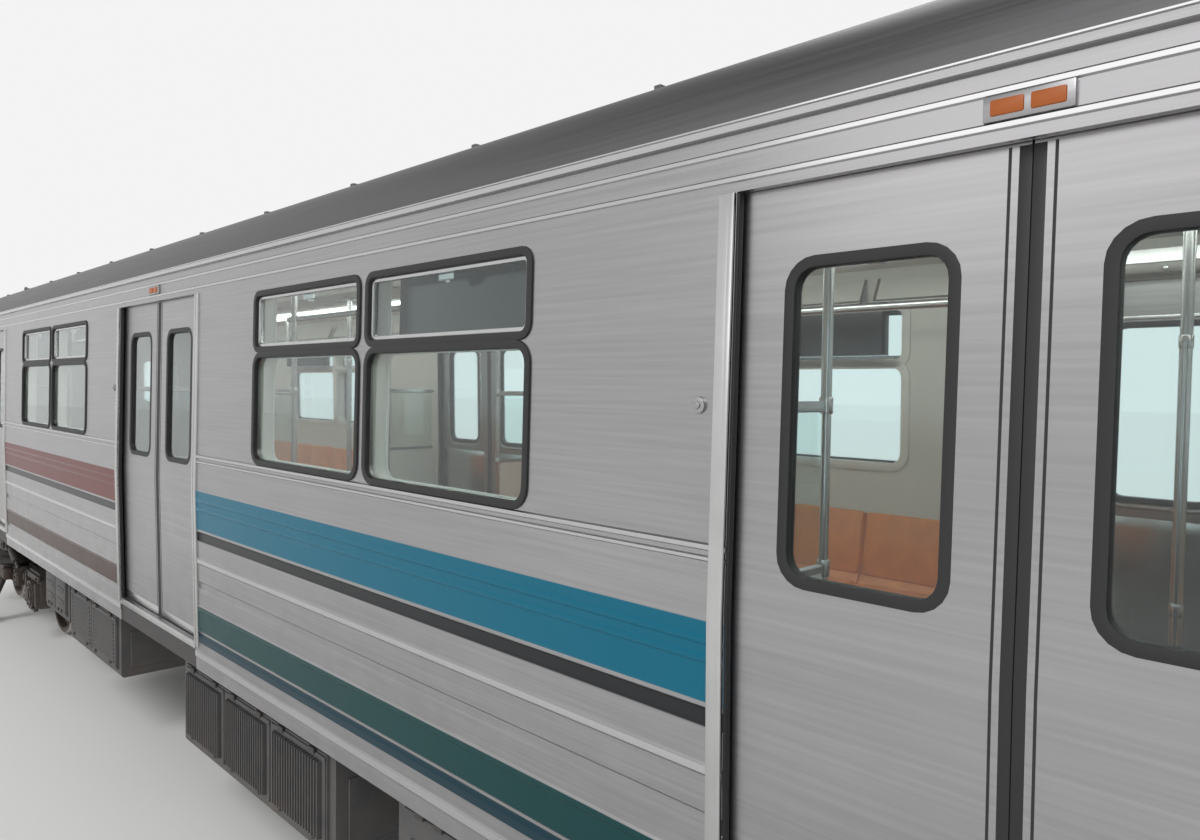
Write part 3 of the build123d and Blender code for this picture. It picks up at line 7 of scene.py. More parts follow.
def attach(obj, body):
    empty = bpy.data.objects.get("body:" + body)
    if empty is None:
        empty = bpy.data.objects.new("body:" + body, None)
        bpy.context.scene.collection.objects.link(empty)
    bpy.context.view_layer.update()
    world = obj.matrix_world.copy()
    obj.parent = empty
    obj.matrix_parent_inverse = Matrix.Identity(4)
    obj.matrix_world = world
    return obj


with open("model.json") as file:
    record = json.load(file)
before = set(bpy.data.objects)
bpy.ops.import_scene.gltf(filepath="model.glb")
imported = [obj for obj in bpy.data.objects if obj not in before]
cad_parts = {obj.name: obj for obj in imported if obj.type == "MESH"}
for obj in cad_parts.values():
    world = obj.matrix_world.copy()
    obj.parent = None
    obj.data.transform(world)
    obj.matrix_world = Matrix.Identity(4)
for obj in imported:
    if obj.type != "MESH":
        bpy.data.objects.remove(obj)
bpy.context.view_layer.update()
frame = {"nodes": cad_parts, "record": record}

# metres, +X to the cab, +Y to the left, lowest points of the wheel flanges at 0
car = {
    "floor": 1.150, "sillFoot": 1.000, "crease": 2.005, "doorHead": 3.080, "cant": 3.250, "crown": 3.590,
    "halfWidth": 1.310, "upperLean": 0.026, "lowerLean": 0.016, "halfLength": 7.420, "doorPitch": 5.030,
    "doorHalf": 0.685, "truck": 5.486, "axleZ": 0.460, "halfWheelbase": 1.041,
}
floorZ = car["floor"]
doorCentres = {"rear": -car["doorPitch"], "middle": 0.0, "front": car["doorPitch"]}


def sideY(z):
    if z <= car["crease"]:
        return car["halfWidth"] - car["lowerLean"] * (car["crease"] - z) / (car["crease"] - car["sillFoot"])
    return car["halfWidth"] - car["upperLean"] * (z - car["crease"]) / (car["cant"] - car["crease"])


# hands: selecting, starting, copying and finishing a piece
def dropSelection():
    if bpy.context.object and bpy.context.mode != "OBJECT":
        bpy.ops.object.mode_set(mode="OBJECT")
    bpy.ops.object.select_all(action="DESELECT")


def takeUp(obj):
    dropSelection()
    obj.select_set(True)
    bpy.context.view_layer.objects.active = obj


def settle(obj):  # its place goes into its mesh
    takeUp(obj)
    bpy.ops.object.transform_apply(location=True, rotation=True, scale=True)


def editAll(obj, mode="FACE"):
    takeUp(obj)
    bpy.ops.object.mode_set(mode="EDIT")
    bpy.ops.mesh.select_mode(type=mode)
    bpy.ops.mesh.select_all(action="SELECT")


def editPicked(obj, wanted):  # edit mode with the faces whose centre and normal pass the test
    editAll(obj)
    bpy.ops.mesh.select_all(action="DESELECT")
    bpy.ops.object.mode_set(mode="OBJECT")
    for face in obj.data.polygons:
        face.select = bool(wanted(face.center, face.normal))
    bpy.ops.object.mode_set(mode="EDIT")


def leaveEdit():
    bpy.ops.object.mode_set(mode="OBJECT")


def softened(obj, width, angle=None):
    takeUp(obj)
    soft = obj.modifiers.new("soft", "BEVEL")
    soft.width = width
    soft.segments = 2
    if angle:
        soft.limit_method = "ANGLE"
        soft.angle_limit = math.radians(angle)
    bpy.ops.object.modifier_apply(modifier="soft")


def block(corner, opposite, edge=0.003, steps=1):
    dropSelection()
    middle = [(a + b) / 2 for a, b in zip(corner, opposite)]
    bpy.ops.mesh.primitive_cube_add(size=1, location=middle)
    obj = bpy.context.object
    obj.scale = [abs(b - a) for a, b in zip(corner, opposite)]
    settle(obj)
    editAll(obj, "EDGE")
    bpy.ops.mesh.bevel(offset=edge, segments=steps, affect="EDGES")
    leaveEdit()
    return obj


turnTo = {"X": (0, math.pi / 2, 0), "Y": (-math.pi / 2, 0, 0), "Z": (0, 0, 0)}


def rod(centre, radius, length, axis="Z", sides=16, edge=0.0):
    dropSelection()
    bpy.ops.mesh.primitive_cylinder_add(vertices=sides, radius=radius, depth=length, location=centre,
                                        rotation=turnTo[axis])
    obj = bpy.context.object
    settle(obj)
    along = "XYZ".index(axis)
    editPicked(obj, lambda c, n: abs(n[along]) > 0.9)
    if edge:
        bpy.ops.mesh.bevel(offset=edge, segments=2, affect="EDGES")
    else:
        bpy.ops.mesh.inset(thickness=radius * 0.12)
    leaveEdit()
    return obj


def ring(width, height, corner, inside, outside, front, back, edge=0.0015):
    # a frame with round corners, standing in X and Z round an opening, from y = back to y = front
    dropSelection()
    bpy.ops.mesh.primitive_plane_add(size=1, rotation=(-math.pi / 2, 0, 0))
    obj = bpy.context.object
    obj.scale = (width + 2 * outside, height + 2 * outside, 1)
    settle(obj)
    editAll(obj, "VERT")
    bpy.ops.mesh.bevel(offset=corner + outside, segments=5, affect="VERTICES")
    bpy.ops.mesh.select_mode(type="FACE")
    bpy.ops.mesh.select_all(action="SELECT")
    bpy.ops.mesh.inset(thickness=inside + outside)
    bpy.ops.mesh.delete(type="FACE")
    bpy.ops.mesh.select_all(action="SELECT")
    bpy.ops.transform.translate(value=(0, front, 0))
    leaveEdit()
    thick = obj.modifiers.new("thick", "SOLIDIFY")
    thick.thickness = front - back
    thick.offset = -1
    bpy.ops.object.modifier_apply(modifier="thick")
    if edge:
        softened(obj, edge)
    return obj


def moved(obj, change):
    obj.data.transform(change)
    return obj


def another(obj, change):
    fresh = obj.copy()
    fresh.data = obj.data.copy()
    bpy.context.scene.collection.objects.link(fresh)
    fresh.data.transform(change)
    if change.determinant() < 0:
        fresh.data.flip_normals()
    return fresh


toRight = Matrix.Scale(-1, 4, (0, 1, 0))
toAft = Matrix.Scale(-1, 4, (1, 0, 0))
halfTurn = Matrix.Rotation(math.pi, 4, "Z")
endPlaces = (("front", Matrix.Identity(4)), ("rear", halfTurn))


def spread(template, places):
    copies = [another(template, place) for place in places]
    bpy.data.objects.remove(template)
    return copies


def bothSides(places):
    return [m for place in places for m in (place, toRight @ place)]


def sideStrip(x0, x1, outer, inner, z0, z1, edge=0.0015):
    # a strip that follows the side's crease; outer and inner are offsets from the outer face
    dropSelection()
    crease = car["crease"]
    bpy.ops.mesh.primitive_cube_add(size=1, location=((x0 + x1) / 2, car["halfWidth"] + (outer + inner) / 2,
                                                      (z0 + z1) / 2))
    obj = bpy.context.object
    obj.scale = (x1 - x0, abs(outer - inner), z1 - z0)
    settle(obj)
    if z0 < crease < z1:
        editAll(obj)
        bpy.ops.mesh.bisect(plane_co=(0, 0, crease), plane_no=(0, 0, 1))
        leaveEdit()
    for end in (z0, z1):
        takeUp(obj)
        bpy.ops.object.mode_set(mode="EDIT")
        bpy.ops.mesh.select_mode(type="VERT")
        bpy.ops.mesh.select_all(action="DESELECT")
        bpy.ops.object.mode_set(mode="OBJECT")
        for vertex in obj.data.vertices:
            vertex.select = abs(vertex.co.z - end) < 1e-5
        bpy.ops.object.mode_set(mode="EDIT")
        bpy.ops.transform.translate(value=(0, sideY(end) - car["halfWidth"], 0))
        leaveEdit()
    if edge:
        softened(obj, edge, 40)
    return obj


def rodBetween(start, finish, radius, sides=12, edge=0.0):
    start, finish = Vector(start), Vector(finish)
    way = finish - start
    dropSelection()
    bpy.ops.mesh.primitive_cylinder_add(vertices=sides, radius=radius, depth=way.length,
                                        location=(start + finish) / 2,
                                        rotation=way.to_track_quat("Z", "Y").to_euler())
    obj = bpy.context.object
    settle(obj)
    if edge:
        editPicked(obj, lambda c, n: abs(n.dot(way.normalized())) > 0.9)
        bpy.ops.mesh.bevel(offset=edge, segments=2, affect="EDGES")
        leaveEdit()
    return obj


def hoop(centre, major, minor, axis="Z", around=32, sides=8):
    dropSelection()
    bpy.ops.mesh.primitive_torus_add(major_radius=major, minor_radius=minor, major_segments=around,
                                     minor_segments=sides,
                                     location=centre, rotation=turnTo[axis])
    settle(bpy.context.object)
    return bpy.context.object


def rowOf(obj, count, step):
    takeUp(obj)
    row = obj.modifiers.new("row", "ARRAY")
    row.count = count
    row.use_relative_offset = False
    row.use_constant_offset = True
    row.constant_offset_displace = step
    bpy.ops.object.modifier_apply(modifier="row")
    return obj


def bothEnds(parts):
    return parts + [another(part, halfTurn) for part in parts]


def paired(parts):
    return [piece for part in parts for piece in (part, another(part, toRight))]


def bolt(centre, radius, length, axis="Z"):
    return rod(centre, radius, length, axis, 6)


def boltGrid(xs, ys, zs, radius, length, axis="Z"):
    return [bolt((x, y, z), radius, length, axis) for x in xs for y in ys for z in zs]


def circlePoints(count, radius, start=0.0):
    angles = [start + index * 2 * math.pi / count for index in range(count)]
    return [(radius * math.cos(angle), radius * math.sin(angle)) for angle in angles]


def clearAway(templates):
    for template in templates:
        bpy.data.objects.remove(template)


def together(parts):
    parts = list(parts)
    if len(parts) > 1:
        dropSelection()
        for part in parts:
            part.select_set(True)
        bpy.context.view_layer.objects.active = parts[0]
        bpy.ops.object.join()
    return parts[0]


smoothAngle = math.radians(35)


def dress(parts, name, slotName, look=None, body="car_body"):
    # joins, names and finishes a piece, in its slot's own finish unless another is given
    obj = together(parts)
    settle(obj)
    bpy.ops.object.shade_smooth_by_angle(angle=smoothAngle)
    obj.name = name
    obj.data.name = name
    obj.data.materials.clear()
    obj.data.materials.append(look or finishes[slotName])
    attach(obj, body)


# the side above the crease leans in: a piece drawn upright at y = 0 is laid on it
leanAngle = math.atan(car["upperLean"] / (car["cant"] - car["crease"]))
upperSide = Matrix.Translation((0, car["halfWidth"], car["crease"])) @ Matrix.Rotation(leanAngle, 4, "X")


def onUpperSide(x, z, depth=0.0):
    return upperSide @ Matrix.Translation((x, -depth, (z - car["crease"]) / math.cos(leanAngle)))


print("stage: hands ready")

# camera
cameraPlace = {
    "focal": 868.7, "imageWidth": 1200.0, "sensor": 36.0, "at": (-5.665, 3.040, 2.590),
    "right": (-0.69808, -0.71590, 0.01322), "up": (0.03540, -0.01607, 0.99924),
    "look": (0.71515, -0.69802, -0.03656),
}
cameraData = bpy.data.cameras.new("photoCamera")
cameraData.sensor_width = cameraPlace["sensor"]
cameraData.lens = cameraPlace["focal"] / cameraPlace["imageWidth"] * cameraPlace["sensor"]
cameraData.clip_start, cameraData.clip_end = 0.05, 400
camera = bpy.data.objects.new("photoCamera", cameraData)
bpy.context.scene.collection.objects.link(camera)
turn = Matrix([[r, u, -f] for r, u, f in zip(cameraPlace["right"], cameraPlace["up"], cameraPlace["look"])])
camera.matrix_world = Matrix.Translation(cameraPlace["at"]) @ turn.to_4x4()
bpy.context.scene.camera = camera

# room
room = {
    "floorHalf": 150.0, "floorColour": (0.82, 0.82, 0.81), "ambient": 0.54, "backdrop": 0.90,
    "overhead": 0.36, "fadeFrom": 0.30, "fadeTo": 0.85, "boxWide": 18, "boxTall": 5, "aim": (0, 0, 1.8),
    "sunAt": (0, 0, 12),
}
scene = bpy.context.scene
scene.view_settings.view_transform = "Standard"


def hangLamp(data, place, heading):
    lamp = bpy.data.objects.new(data.name, data)
    scene.collection.objects.link(lamp)
    lamp.location = place
    lamp.rotation_mode = "QUATERNION"
    lamp.rotation_quaternion = heading.to_track_quat("-Z", "Y")


def areaLight(name, place, watts):
    data = bpy.data.lights.new(name, "AREA")
    data.shape = "RECTANGLE"
    data.size, data.size_y = room["boxWide"], room["boxTall"]
    data.energy = watts
    hangLamp(data, place, Vector(room["aim"]) - Vector(place))


def softSun(name, heading, strength, angle):
    data = bpy.data.lights.new(name, "SUN")
    data.energy = strength
    data.angle = math.radians(angle)
    hangLamp(data, room["sunAt"], Vector(heading))


areaLight("keyBox", (-4.0, 12.0, 8.0), 260)
areaLight("farBox", (3.0, -12.0, 8.0), 200)
softSun("leftSun", (0.35, -1.0, -1.15), 1.15, 30)
softSun("rightSun", (-0.30, 1.0, -1.35), 0.75, 40)

dropSelection()
bpy.ops.mesh.primitive_plane_add(size=2 * room["floorHalf"])
floor = bpy.context.object
floor.name = "studioFloor"

world = bpy.data.worlds.new("studio")
scene.world = world
world.use_nodes = True
wn, wl = world.node_tree.nodes, world.node_tree.links
wn.clear()
path = wn.new("ShaderNodeLightPath")
seen = wn.new("ShaderNodeMath")
seen.operation = "MAXIMUM"
ambient = wn.new("ShaderNodeBackground")
ambient.inputs["Color"].default_value = (1, 1, 1, 1)
ambient.inputs["Strength"].default_value = room["ambient"]
backdrop = wn.new("ShaderNodeBackground")
backdrop.inputs["Color"].default_value = (room["backdrop"],) * 3 + (1,)
# what polished metal mirrors: the pale backdrop all round, and a darker ceiling overhead
mirrored = wn.new("ShaderNodeBackground")
heading = wn.new("ShaderNodeTexCoord")
headingParts = wn.new("ShaderNodeSeparateXYZ")
ceilingFade = wn.new("ShaderNodeMapRange")
ceilingFade.interpolation_type = "SMOOTHSTEP"
for label, value in (("From Min", room["fadeFrom"]), ("From Max", room["fadeTo"]),
                     ("To Min", room["backdrop"]), ("To Max", room["overhead"])):
    ceilingFade.inputs[label].default_value = value
wl.new(heading.outputs["Generated"], headingParts.inputs[0])
wl.new(headingParts.outputs["Z"], ceilingFade.inputs["Value"])
wl.new(ceilingFade.outputs[0], mirrored.inputs["Color"])
mixGlossy = wn.new("ShaderNodeMixShader")
mixWorld = wn.new("ShaderNodeMixShader")
worldOut = wn.new("ShaderNodeOutputWorld")
wl.new(path.outputs["Is Glossy Ray"], mixGlossy.inputs[0])
wl.new(ambient.outputs[0], mixGlossy.inputs[1])
wl.new(mirrored.outputs[0], mixGlossy.inputs[2])
wl.new(path.outputs["Is Camera Ray"], seen.inputs[0])
wl.new(path.outputs["Is Transmission Ray"], seen.inputs[1])
wl.new(seen.outputs[0], mixWorld.inputs[0])
wl.new(mixGlossy.outputs[0], mixWorld.inputs[1])
wl.new(backdrop.outputs[0], mixWorld.inputs[2])
wl.new(mixWorld.outputs[0], worldOut.inputs[0])
print("stage: camera and room ready")


# finishes
def nodeGroup(name, takes, gives):
    group = bpy.data.node_groups.new(name, "ShaderNodeTree")
    for label, kind, value in takes:
        socket = group.interface.new_socket(name=label, in_out="INPUT", socket_type=kind)
        if value is not None:
            socket.default_value = value
    for label, kind in gives:
        group.interface.new_socket(name=label, in_out="OUTPUT", socket_type=kind)
    nodes = group.nodes
    return group, nodes, group.links, nodes.new("NodeGroupInput"), nodes.new("NodeGroupOutput")


def mathNode(nodes, links, kind, first, second=None, third=None, clamp=False):
    node = nodes.new("ShaderNodeMath")
    node.operation = kind
    node.use_clamp = clamp
    for index, value in enumerate((first, second, third)):
        if value is None:
            continue
        if isinstance(value, (int, float)):
            node.inputs[index].default_value = value
        else:
            links.new(value, node.inputs[index])
    return node.outputs[0]


# brushed grain: fine streaks drawn out along X, as the sheet is polished
grainGroup, gn, gl, gIn, gOut = nodeGroup(
    "brushedGrain",
    [("Vector", "NodeSocketVector", None), ("Fineness", "NodeSocketFloat", 90.0),
     ("Stretch", "NodeSocketFloat", 0.02)],
    [("Streak", "NodeSocketFloat"), ("Cloud", "NodeSocketFloat")])
split = gn.new("ShaderNodeSeparateXYZ")
gl.new(gIn.outputs["Vector"], split.inputs[0])
pulled = gn.new("ShaderNodeCombineXYZ")
gl.new(mathNode(gn, gl, "MULTIPLY", split.outputs["X"], gIn.outputs["Stretch"]), pulled.inputs["X"])
gl.new(split.outputs["Y"], pulled.inputs["Y"])
gl.new(split.outputs["Z"], pulled.inputs["Z"])
streak = gn.new("ShaderNodeTexNoise")
streak.inputs["Detail"].default_value = 4.0
gl.new(pulled.outputs[0], streak.inputs["Vector"])
gl.new(gIn.outputs["Fineness"], streak.inputs["Scale"])
cloud = gn.new("ShaderNodeTexNoise")
cloud.inputs["Scale"].default_value = 1.3
cloud.inputs["Detail"].default_value = 5.0
gl.new(gIn.outputs["Vector"], cloud.inputs["Vector"])
gl.new(streak.outputs["Fac"], gOut.inputs["Streak"])
gl.new(cloud.outputs["Fac"], gOut.inputs["Cloud"])

# dust: thick at the low height, gone at the high one, broken up by blotches
dustGroup, gn, gl, gIn, gOut = nodeGroup(
    "settledDust",
    [("Vector", "NodeSocketVector", None), ("Low", "NodeSocketFloat", 0.0), ("High", "NodeSocketFloat", 1.0),
     ("Amount", "NodeSocketFloat", 0.5)],
    [("Mask", "NodeSocketFloat")])
split = gn.new("ShaderNodeSeparateXYZ")
gl.new(gIn.outputs["Vector"], split.inputs[0])
fall = gn.new("ShaderNodeMapRange")
gl.new(split.outputs["Z"], fall.inputs["Value"])
gl.new(gIn.outputs["Low"], fall.inputs["From Min"])
gl.new(gIn.outputs["High"], fall.inputs["From Max"])
fall.inputs["To Min"].default_value = 1.0
fall.inputs["To Max"].default_value = 0.0
blotch = gn.new("ShaderNodeTexNoise")
blotch.inputs["Scale"].default_value = 7.0
blotch.inputs["Detail"].default_value = 6.0
gl.new(gIn.outputs["Vector"], blotch.inputs["Vector"])
blotchy = mathNode(gn, gl, "MULTIPLY_ADD", blotch.outputs["Fac"], 1.6, -0.3)
mask = mathNode(gn, gl, "MULTIPLY", fall.outputs[0], blotchy, clamp=True)
gl.new(mathNode(gn, gl, "MULTIPLY", mask, gIn.outputs["Amount"], clamp=True), gOut.inputs["Mask"])


def rgba(colour):
    return (colour[0], colour[1], colour[2], 1)


def toned(colour, share):
    return tuple(min(1, c * share) for c in colour)


def mixColour(nodes, links, factor, first, second):
    node = nodes.new("ShaderNodeMix")
    node.data_type = "RGBA"
    if isinstance(factor, (int, float)):
        node.inputs[0].default_value = factor
    else:
        links.new(factor, node.inputs[0])
    for socket, value in ((node.inputs[6], first), (node.inputs[7], second)):
        if isinstance(value, tuple):
            socket.default_value = rgba(value)
        else:
            links.new(value, socket)
    return node.outputs[2]


def newMaterial(name, colour, metallic=0.0, roughness=0.5, coat=0.0):
    material = bpy.data.materials.new(name)
    material.use_nodes = True
    shader = material.node_tree.nodes["Principled BSDF"]
    shader.inputs["Base Color"].default_value = rgba(colour)
    shader.inputs["Metallic"].default_value = metallic
    shader.inputs["Roughness"].default_value = roughness
    shader.inputs["Coat Weight"].default_value = coat
    return material, material.node_tree.nodes, material.node_tree.links, shader


def placed(nodes, links, group, values, across=False):
    node = nodes.new("ShaderNodeGroup")
    node.node_tree = group
    where = nodes.new("ShaderNodeTexCoord")
    source = where.outputs["Object"]
    if across:  # the grain runs along Y
        apart, joined = nodes.new("ShaderNodeSeparateXYZ"), nodes.new("ShaderNodeCombineXYZ")
        links.new(source, apart.inputs[0])
        for label, other in (("X", "Y"), ("Y", "X"), ("Z", "Z")):
            links.new(apart.outputs[label], joined.inputs[other])
        source = joined.outputs[0]
    links.new(source, node.inputs["Vector"])
    for label, value in values.items():
        node.inputs[label].default_value = value
    return node, where


def mapped(nodes, links, source, low, high, first=0.0, last=1.0):
    node = nodes.new("ShaderNodeMapRange")
    links.new(source, node.inputs["Value"])
    for label, value in (("From Min", low), ("From Max", high), ("To Min", first), ("To Max", last)):
        node.inputs[label].default_value = value
    return node.outputs[0]


def times(nodes, links, first, second):
    return mathNode(nodes, links, "MULTIPLY", first, second)


def span(nodes, links, source, low, high, soft=0.0015):
    # 1 between low and high, 0 outside
    rise = mapped(nodes, links, source, low - soft, low + soft)
    drop = mapped(nodes, links, source, high - soft, high + soft, 1.0, 0.0)
    return times(nodes, links, rise, drop)


def either(nodes, links, first, second):
    return second if first is None else mathNode(nodes, links, "MAXIMUM", first, second)


liningEdge = {"soft": 0.002, "foot": floorZ - 0.02, "head": 3.245, "half": 1.205}


def brushedSteel(name, colour, roughness=0.30, dust=0.25, fineness=90.0, bands=(), crests=(), lining=None,
                 liningAt=("Y", 1.264), across=False):
    material, nodes, links, shader = newMaterial(name, colour, 1.0, roughness)
    grain, where = placed(nodes, links, grainGroup, {"Fineness": fineness}, across)
    streaks = grain.outputs["Streak"]
    shade = mixColour(nodes, links, streaks, toned(colour, 0.78), toned(colour, 1.20))
    clouds = times(nodes, links, grain.outputs["Cloud"], 0.35)
    shade = mixColour(nodes, links, clouds, shade, toned(colour, 0.72))
    if dust:
        grime, _ = placed(nodes, links, dustGroup, {"Low": 0.9, "High": 2.1, "Amount": dust})
        shade = mixColour(nodes, links, grime.outputs["Mask"], shade, (0.10, 0.085, 0.07))
        rough = mathNode(nodes, links, "MULTIPLY_ADD", grime.outputs["Mask"], 0.4, roughness)
    else:
        rough = mathNode(nodes, links, "MULTIPLY_ADD", streaks, 0.22, roughness - 0.11)
    if bands or lining:
        axes = nodes.new("ShaderNodeSeparateXYZ")
        links.new(where.outputs["Object"], axes.inputs[0])
        axis, reach = liningAt
        outward = mathNode(nodes, links, "ABSOLUTE", axes.outputs[axis])
        outside = mapped(nodes, links, outward, reach - liningEdge["soft"], reach + liningEdge["soft"])
        painted, crestHighlight = None, None
        for lowZ, highZ in crests:  # painted highlight along the crests of the pressed beads
            crest = times(nodes, links, span(nodes, links, axes.outputs["Z"], lowZ, highZ, 0.001), outside)
            crestHighlight = either(nodes, links, crestHighlight, crest)
        # painted highlight: the bead crests are made lighter, and smoother
        if crestHighlight:
            shade = mixColour(nodes, links, times(nodes, links, crestHighlight, 0.8), shade, crestHighlightTone)
            rough = mathNode(nodes, links, "ADD", rough, times(nodes, links, crestHighlight, -0.10))
        for lowX, highX, lowZ, highZ, paint in bands:
            inZ = span(nodes, links, axes.outputs["Z"], lowZ, highZ)
            inX = span(nodes, links, axes.outputs["X"], lowX, highX)
            here = times(nodes, links, times(nodes, links, inZ, inX), outside)
            shade = mixColour(nodes, links, here, shade, paint)
            painted = either(nodes, links, painted, here)
        if lining:
            inside = mathNode(nodes, links, "SUBTRACT", 1.0, outside)
            if axis == "X":  # an end wall's sides and dome stay bare
                height = span(nodes, links, axes.outputs["Z"], liningEdge["foot"], liningEdge["head"])
                breadth = span(nodes, links, axes.outputs["Y"], -liningEdge["half"], liningEdge["half"])
                inside = times(nodes, links, inside, times(nodes, links, height, breadth))
            shade = mixColour(nodes, links, inside, shade, lining)
            painted = either(nodes, links, painted, inside)
        links.new(mathNode(nodes, links, "SUBTRACT", 1.0, painted), shader.inputs["Metallic"])
    links.new(shade, shader.inputs["Base Color"])
    links.new(rough, shader.inputs["Roughness"])
    shader.inputs["Specular IOR Level"].default_value = 0.22  # the bands of painted reflection and painted shade are a thin matt film
    bump = nodes.new("ShaderNodeBump")
    bump.inputs["Strength"].default_value = 0.06
    bump.inputs["Distance"].default_value = 0.002
    links.new(streaks, bump.inputs["Height"])
    links.new(bump.outputs[0], shader.inputs["Normal"])
    return material


def brightMetal(name, colour, roughness):
    # smooth bright metal of rails and trim, with slow, faint changes of tone
    material, nodes, links, shader = newMaterial(name, colour, 1.0, roughness)
    grain, _ = placed(nodes, links, grainGroup, {"Fineness": 9.0, "Stretch": 1.0})
    shade = mixColour(nodes, links, grain.outputs["Streak"], toned(colour, 0.88), toned(colour, 1.10))
    links.new(shade, shader.inputs["Base Color"])
    return material


def dustyPaint(name, colour, roughness=0.5, metallic=0.0, dust=0.5, low=0.0, high=1.2,
               dustColour=(0.16, 0.12, 0.09), mottle=0.25):
    material, nodes, links, shader = newMaterial(name, colour, metallic, roughness)
    grime, _ = placed(nodes, links, dustGroup, {"Low": low, "High": high, "Amount": dust})
    grain, _ = placed(nodes, links, grainGroup, {"Fineness": 14.0, "Stretch": 1.0})
    shade = mixColour(nodes, links, grain.outputs["Streak"], toned(colour, 1 - mottle),
                      toned(colour, 1 + mottle))
    shade = mixColour(nodes, links, grime.outputs["Mask"], shade, dustColour)
    links.new(shade, shader.inputs["Base Color"])
    rough = mathNode(nodes, links, "MULTIPLY_ADD", grime.outputs["Mask"], 0.35, roughness)
    links.new(rough, shader.inputs["Roughness"])
    return material


def tintedGlass(name, colour, roughness=0.02):
    material, _, _, shader = newMaterial(name, colour, 0.0, roughness)
    shader.inputs["Transmission Weight"].default_value = 1.0
    shader.inputs["IOR"].default_value = 1.45
    return material


def glowing(name, colour, strength):
    material, _, _, shader = newMaterial(name, colour, 0.0, 0.4)
    shader.inputs["Emission Color"].default_value = rgba(colour)
    shader.inputs["Emission Strength"].default_value = strength
    return material


# the band colours, the deep blue sill band's too, are painted reflection: colour seen reflected along the
# side, laid on the bays as painted stripes
blue, red = (0.001, 0.125, 0.200), (0.120, 0.014, 0.012)
teal, brown = (0.001, 0.046, 0.048), (0.042, 0.014, 0.008)
# the near-black first colour on the next line is painted shade for the pressed groove under the wide band
grooveShade, deepBlue = (0.020, 0.022, 0.024), (0.006, 0.034, 0.050)
bayNear, bayFar = car["doorHalf"], car["doorPitch"] - car["doorHalf"]
rearBay, frontBay = (-bayFar, -bayNear), (bayNear, bayFar)
bandTable = []  # X from and to, height from and to, paint: painted reflection in the bands, painted shade in the groove
for bay, wide, low in ((rearBay, blue, teal), (frontBay, red, brown)):
    # the middle entry is a painted shade strip in the groove just under the wide band
    for foot, head, paint in ((0.640, 0.850, wide), (0.575, 0.625, grooveShade), (0.075, 0.215, low)):
        bandTable.append((*bay, floorZ + foot, floorZ + head, paint))
bandTable.append((*rearBay, floorZ + 0.010, floorZ + 0.060, deepBlue))
# the second tone is the painted highlight laid on the bead crests
steelTone, crestHighlightTone = (0.400, 0.393, 0.400), (0.58, 0.575, 0.58)
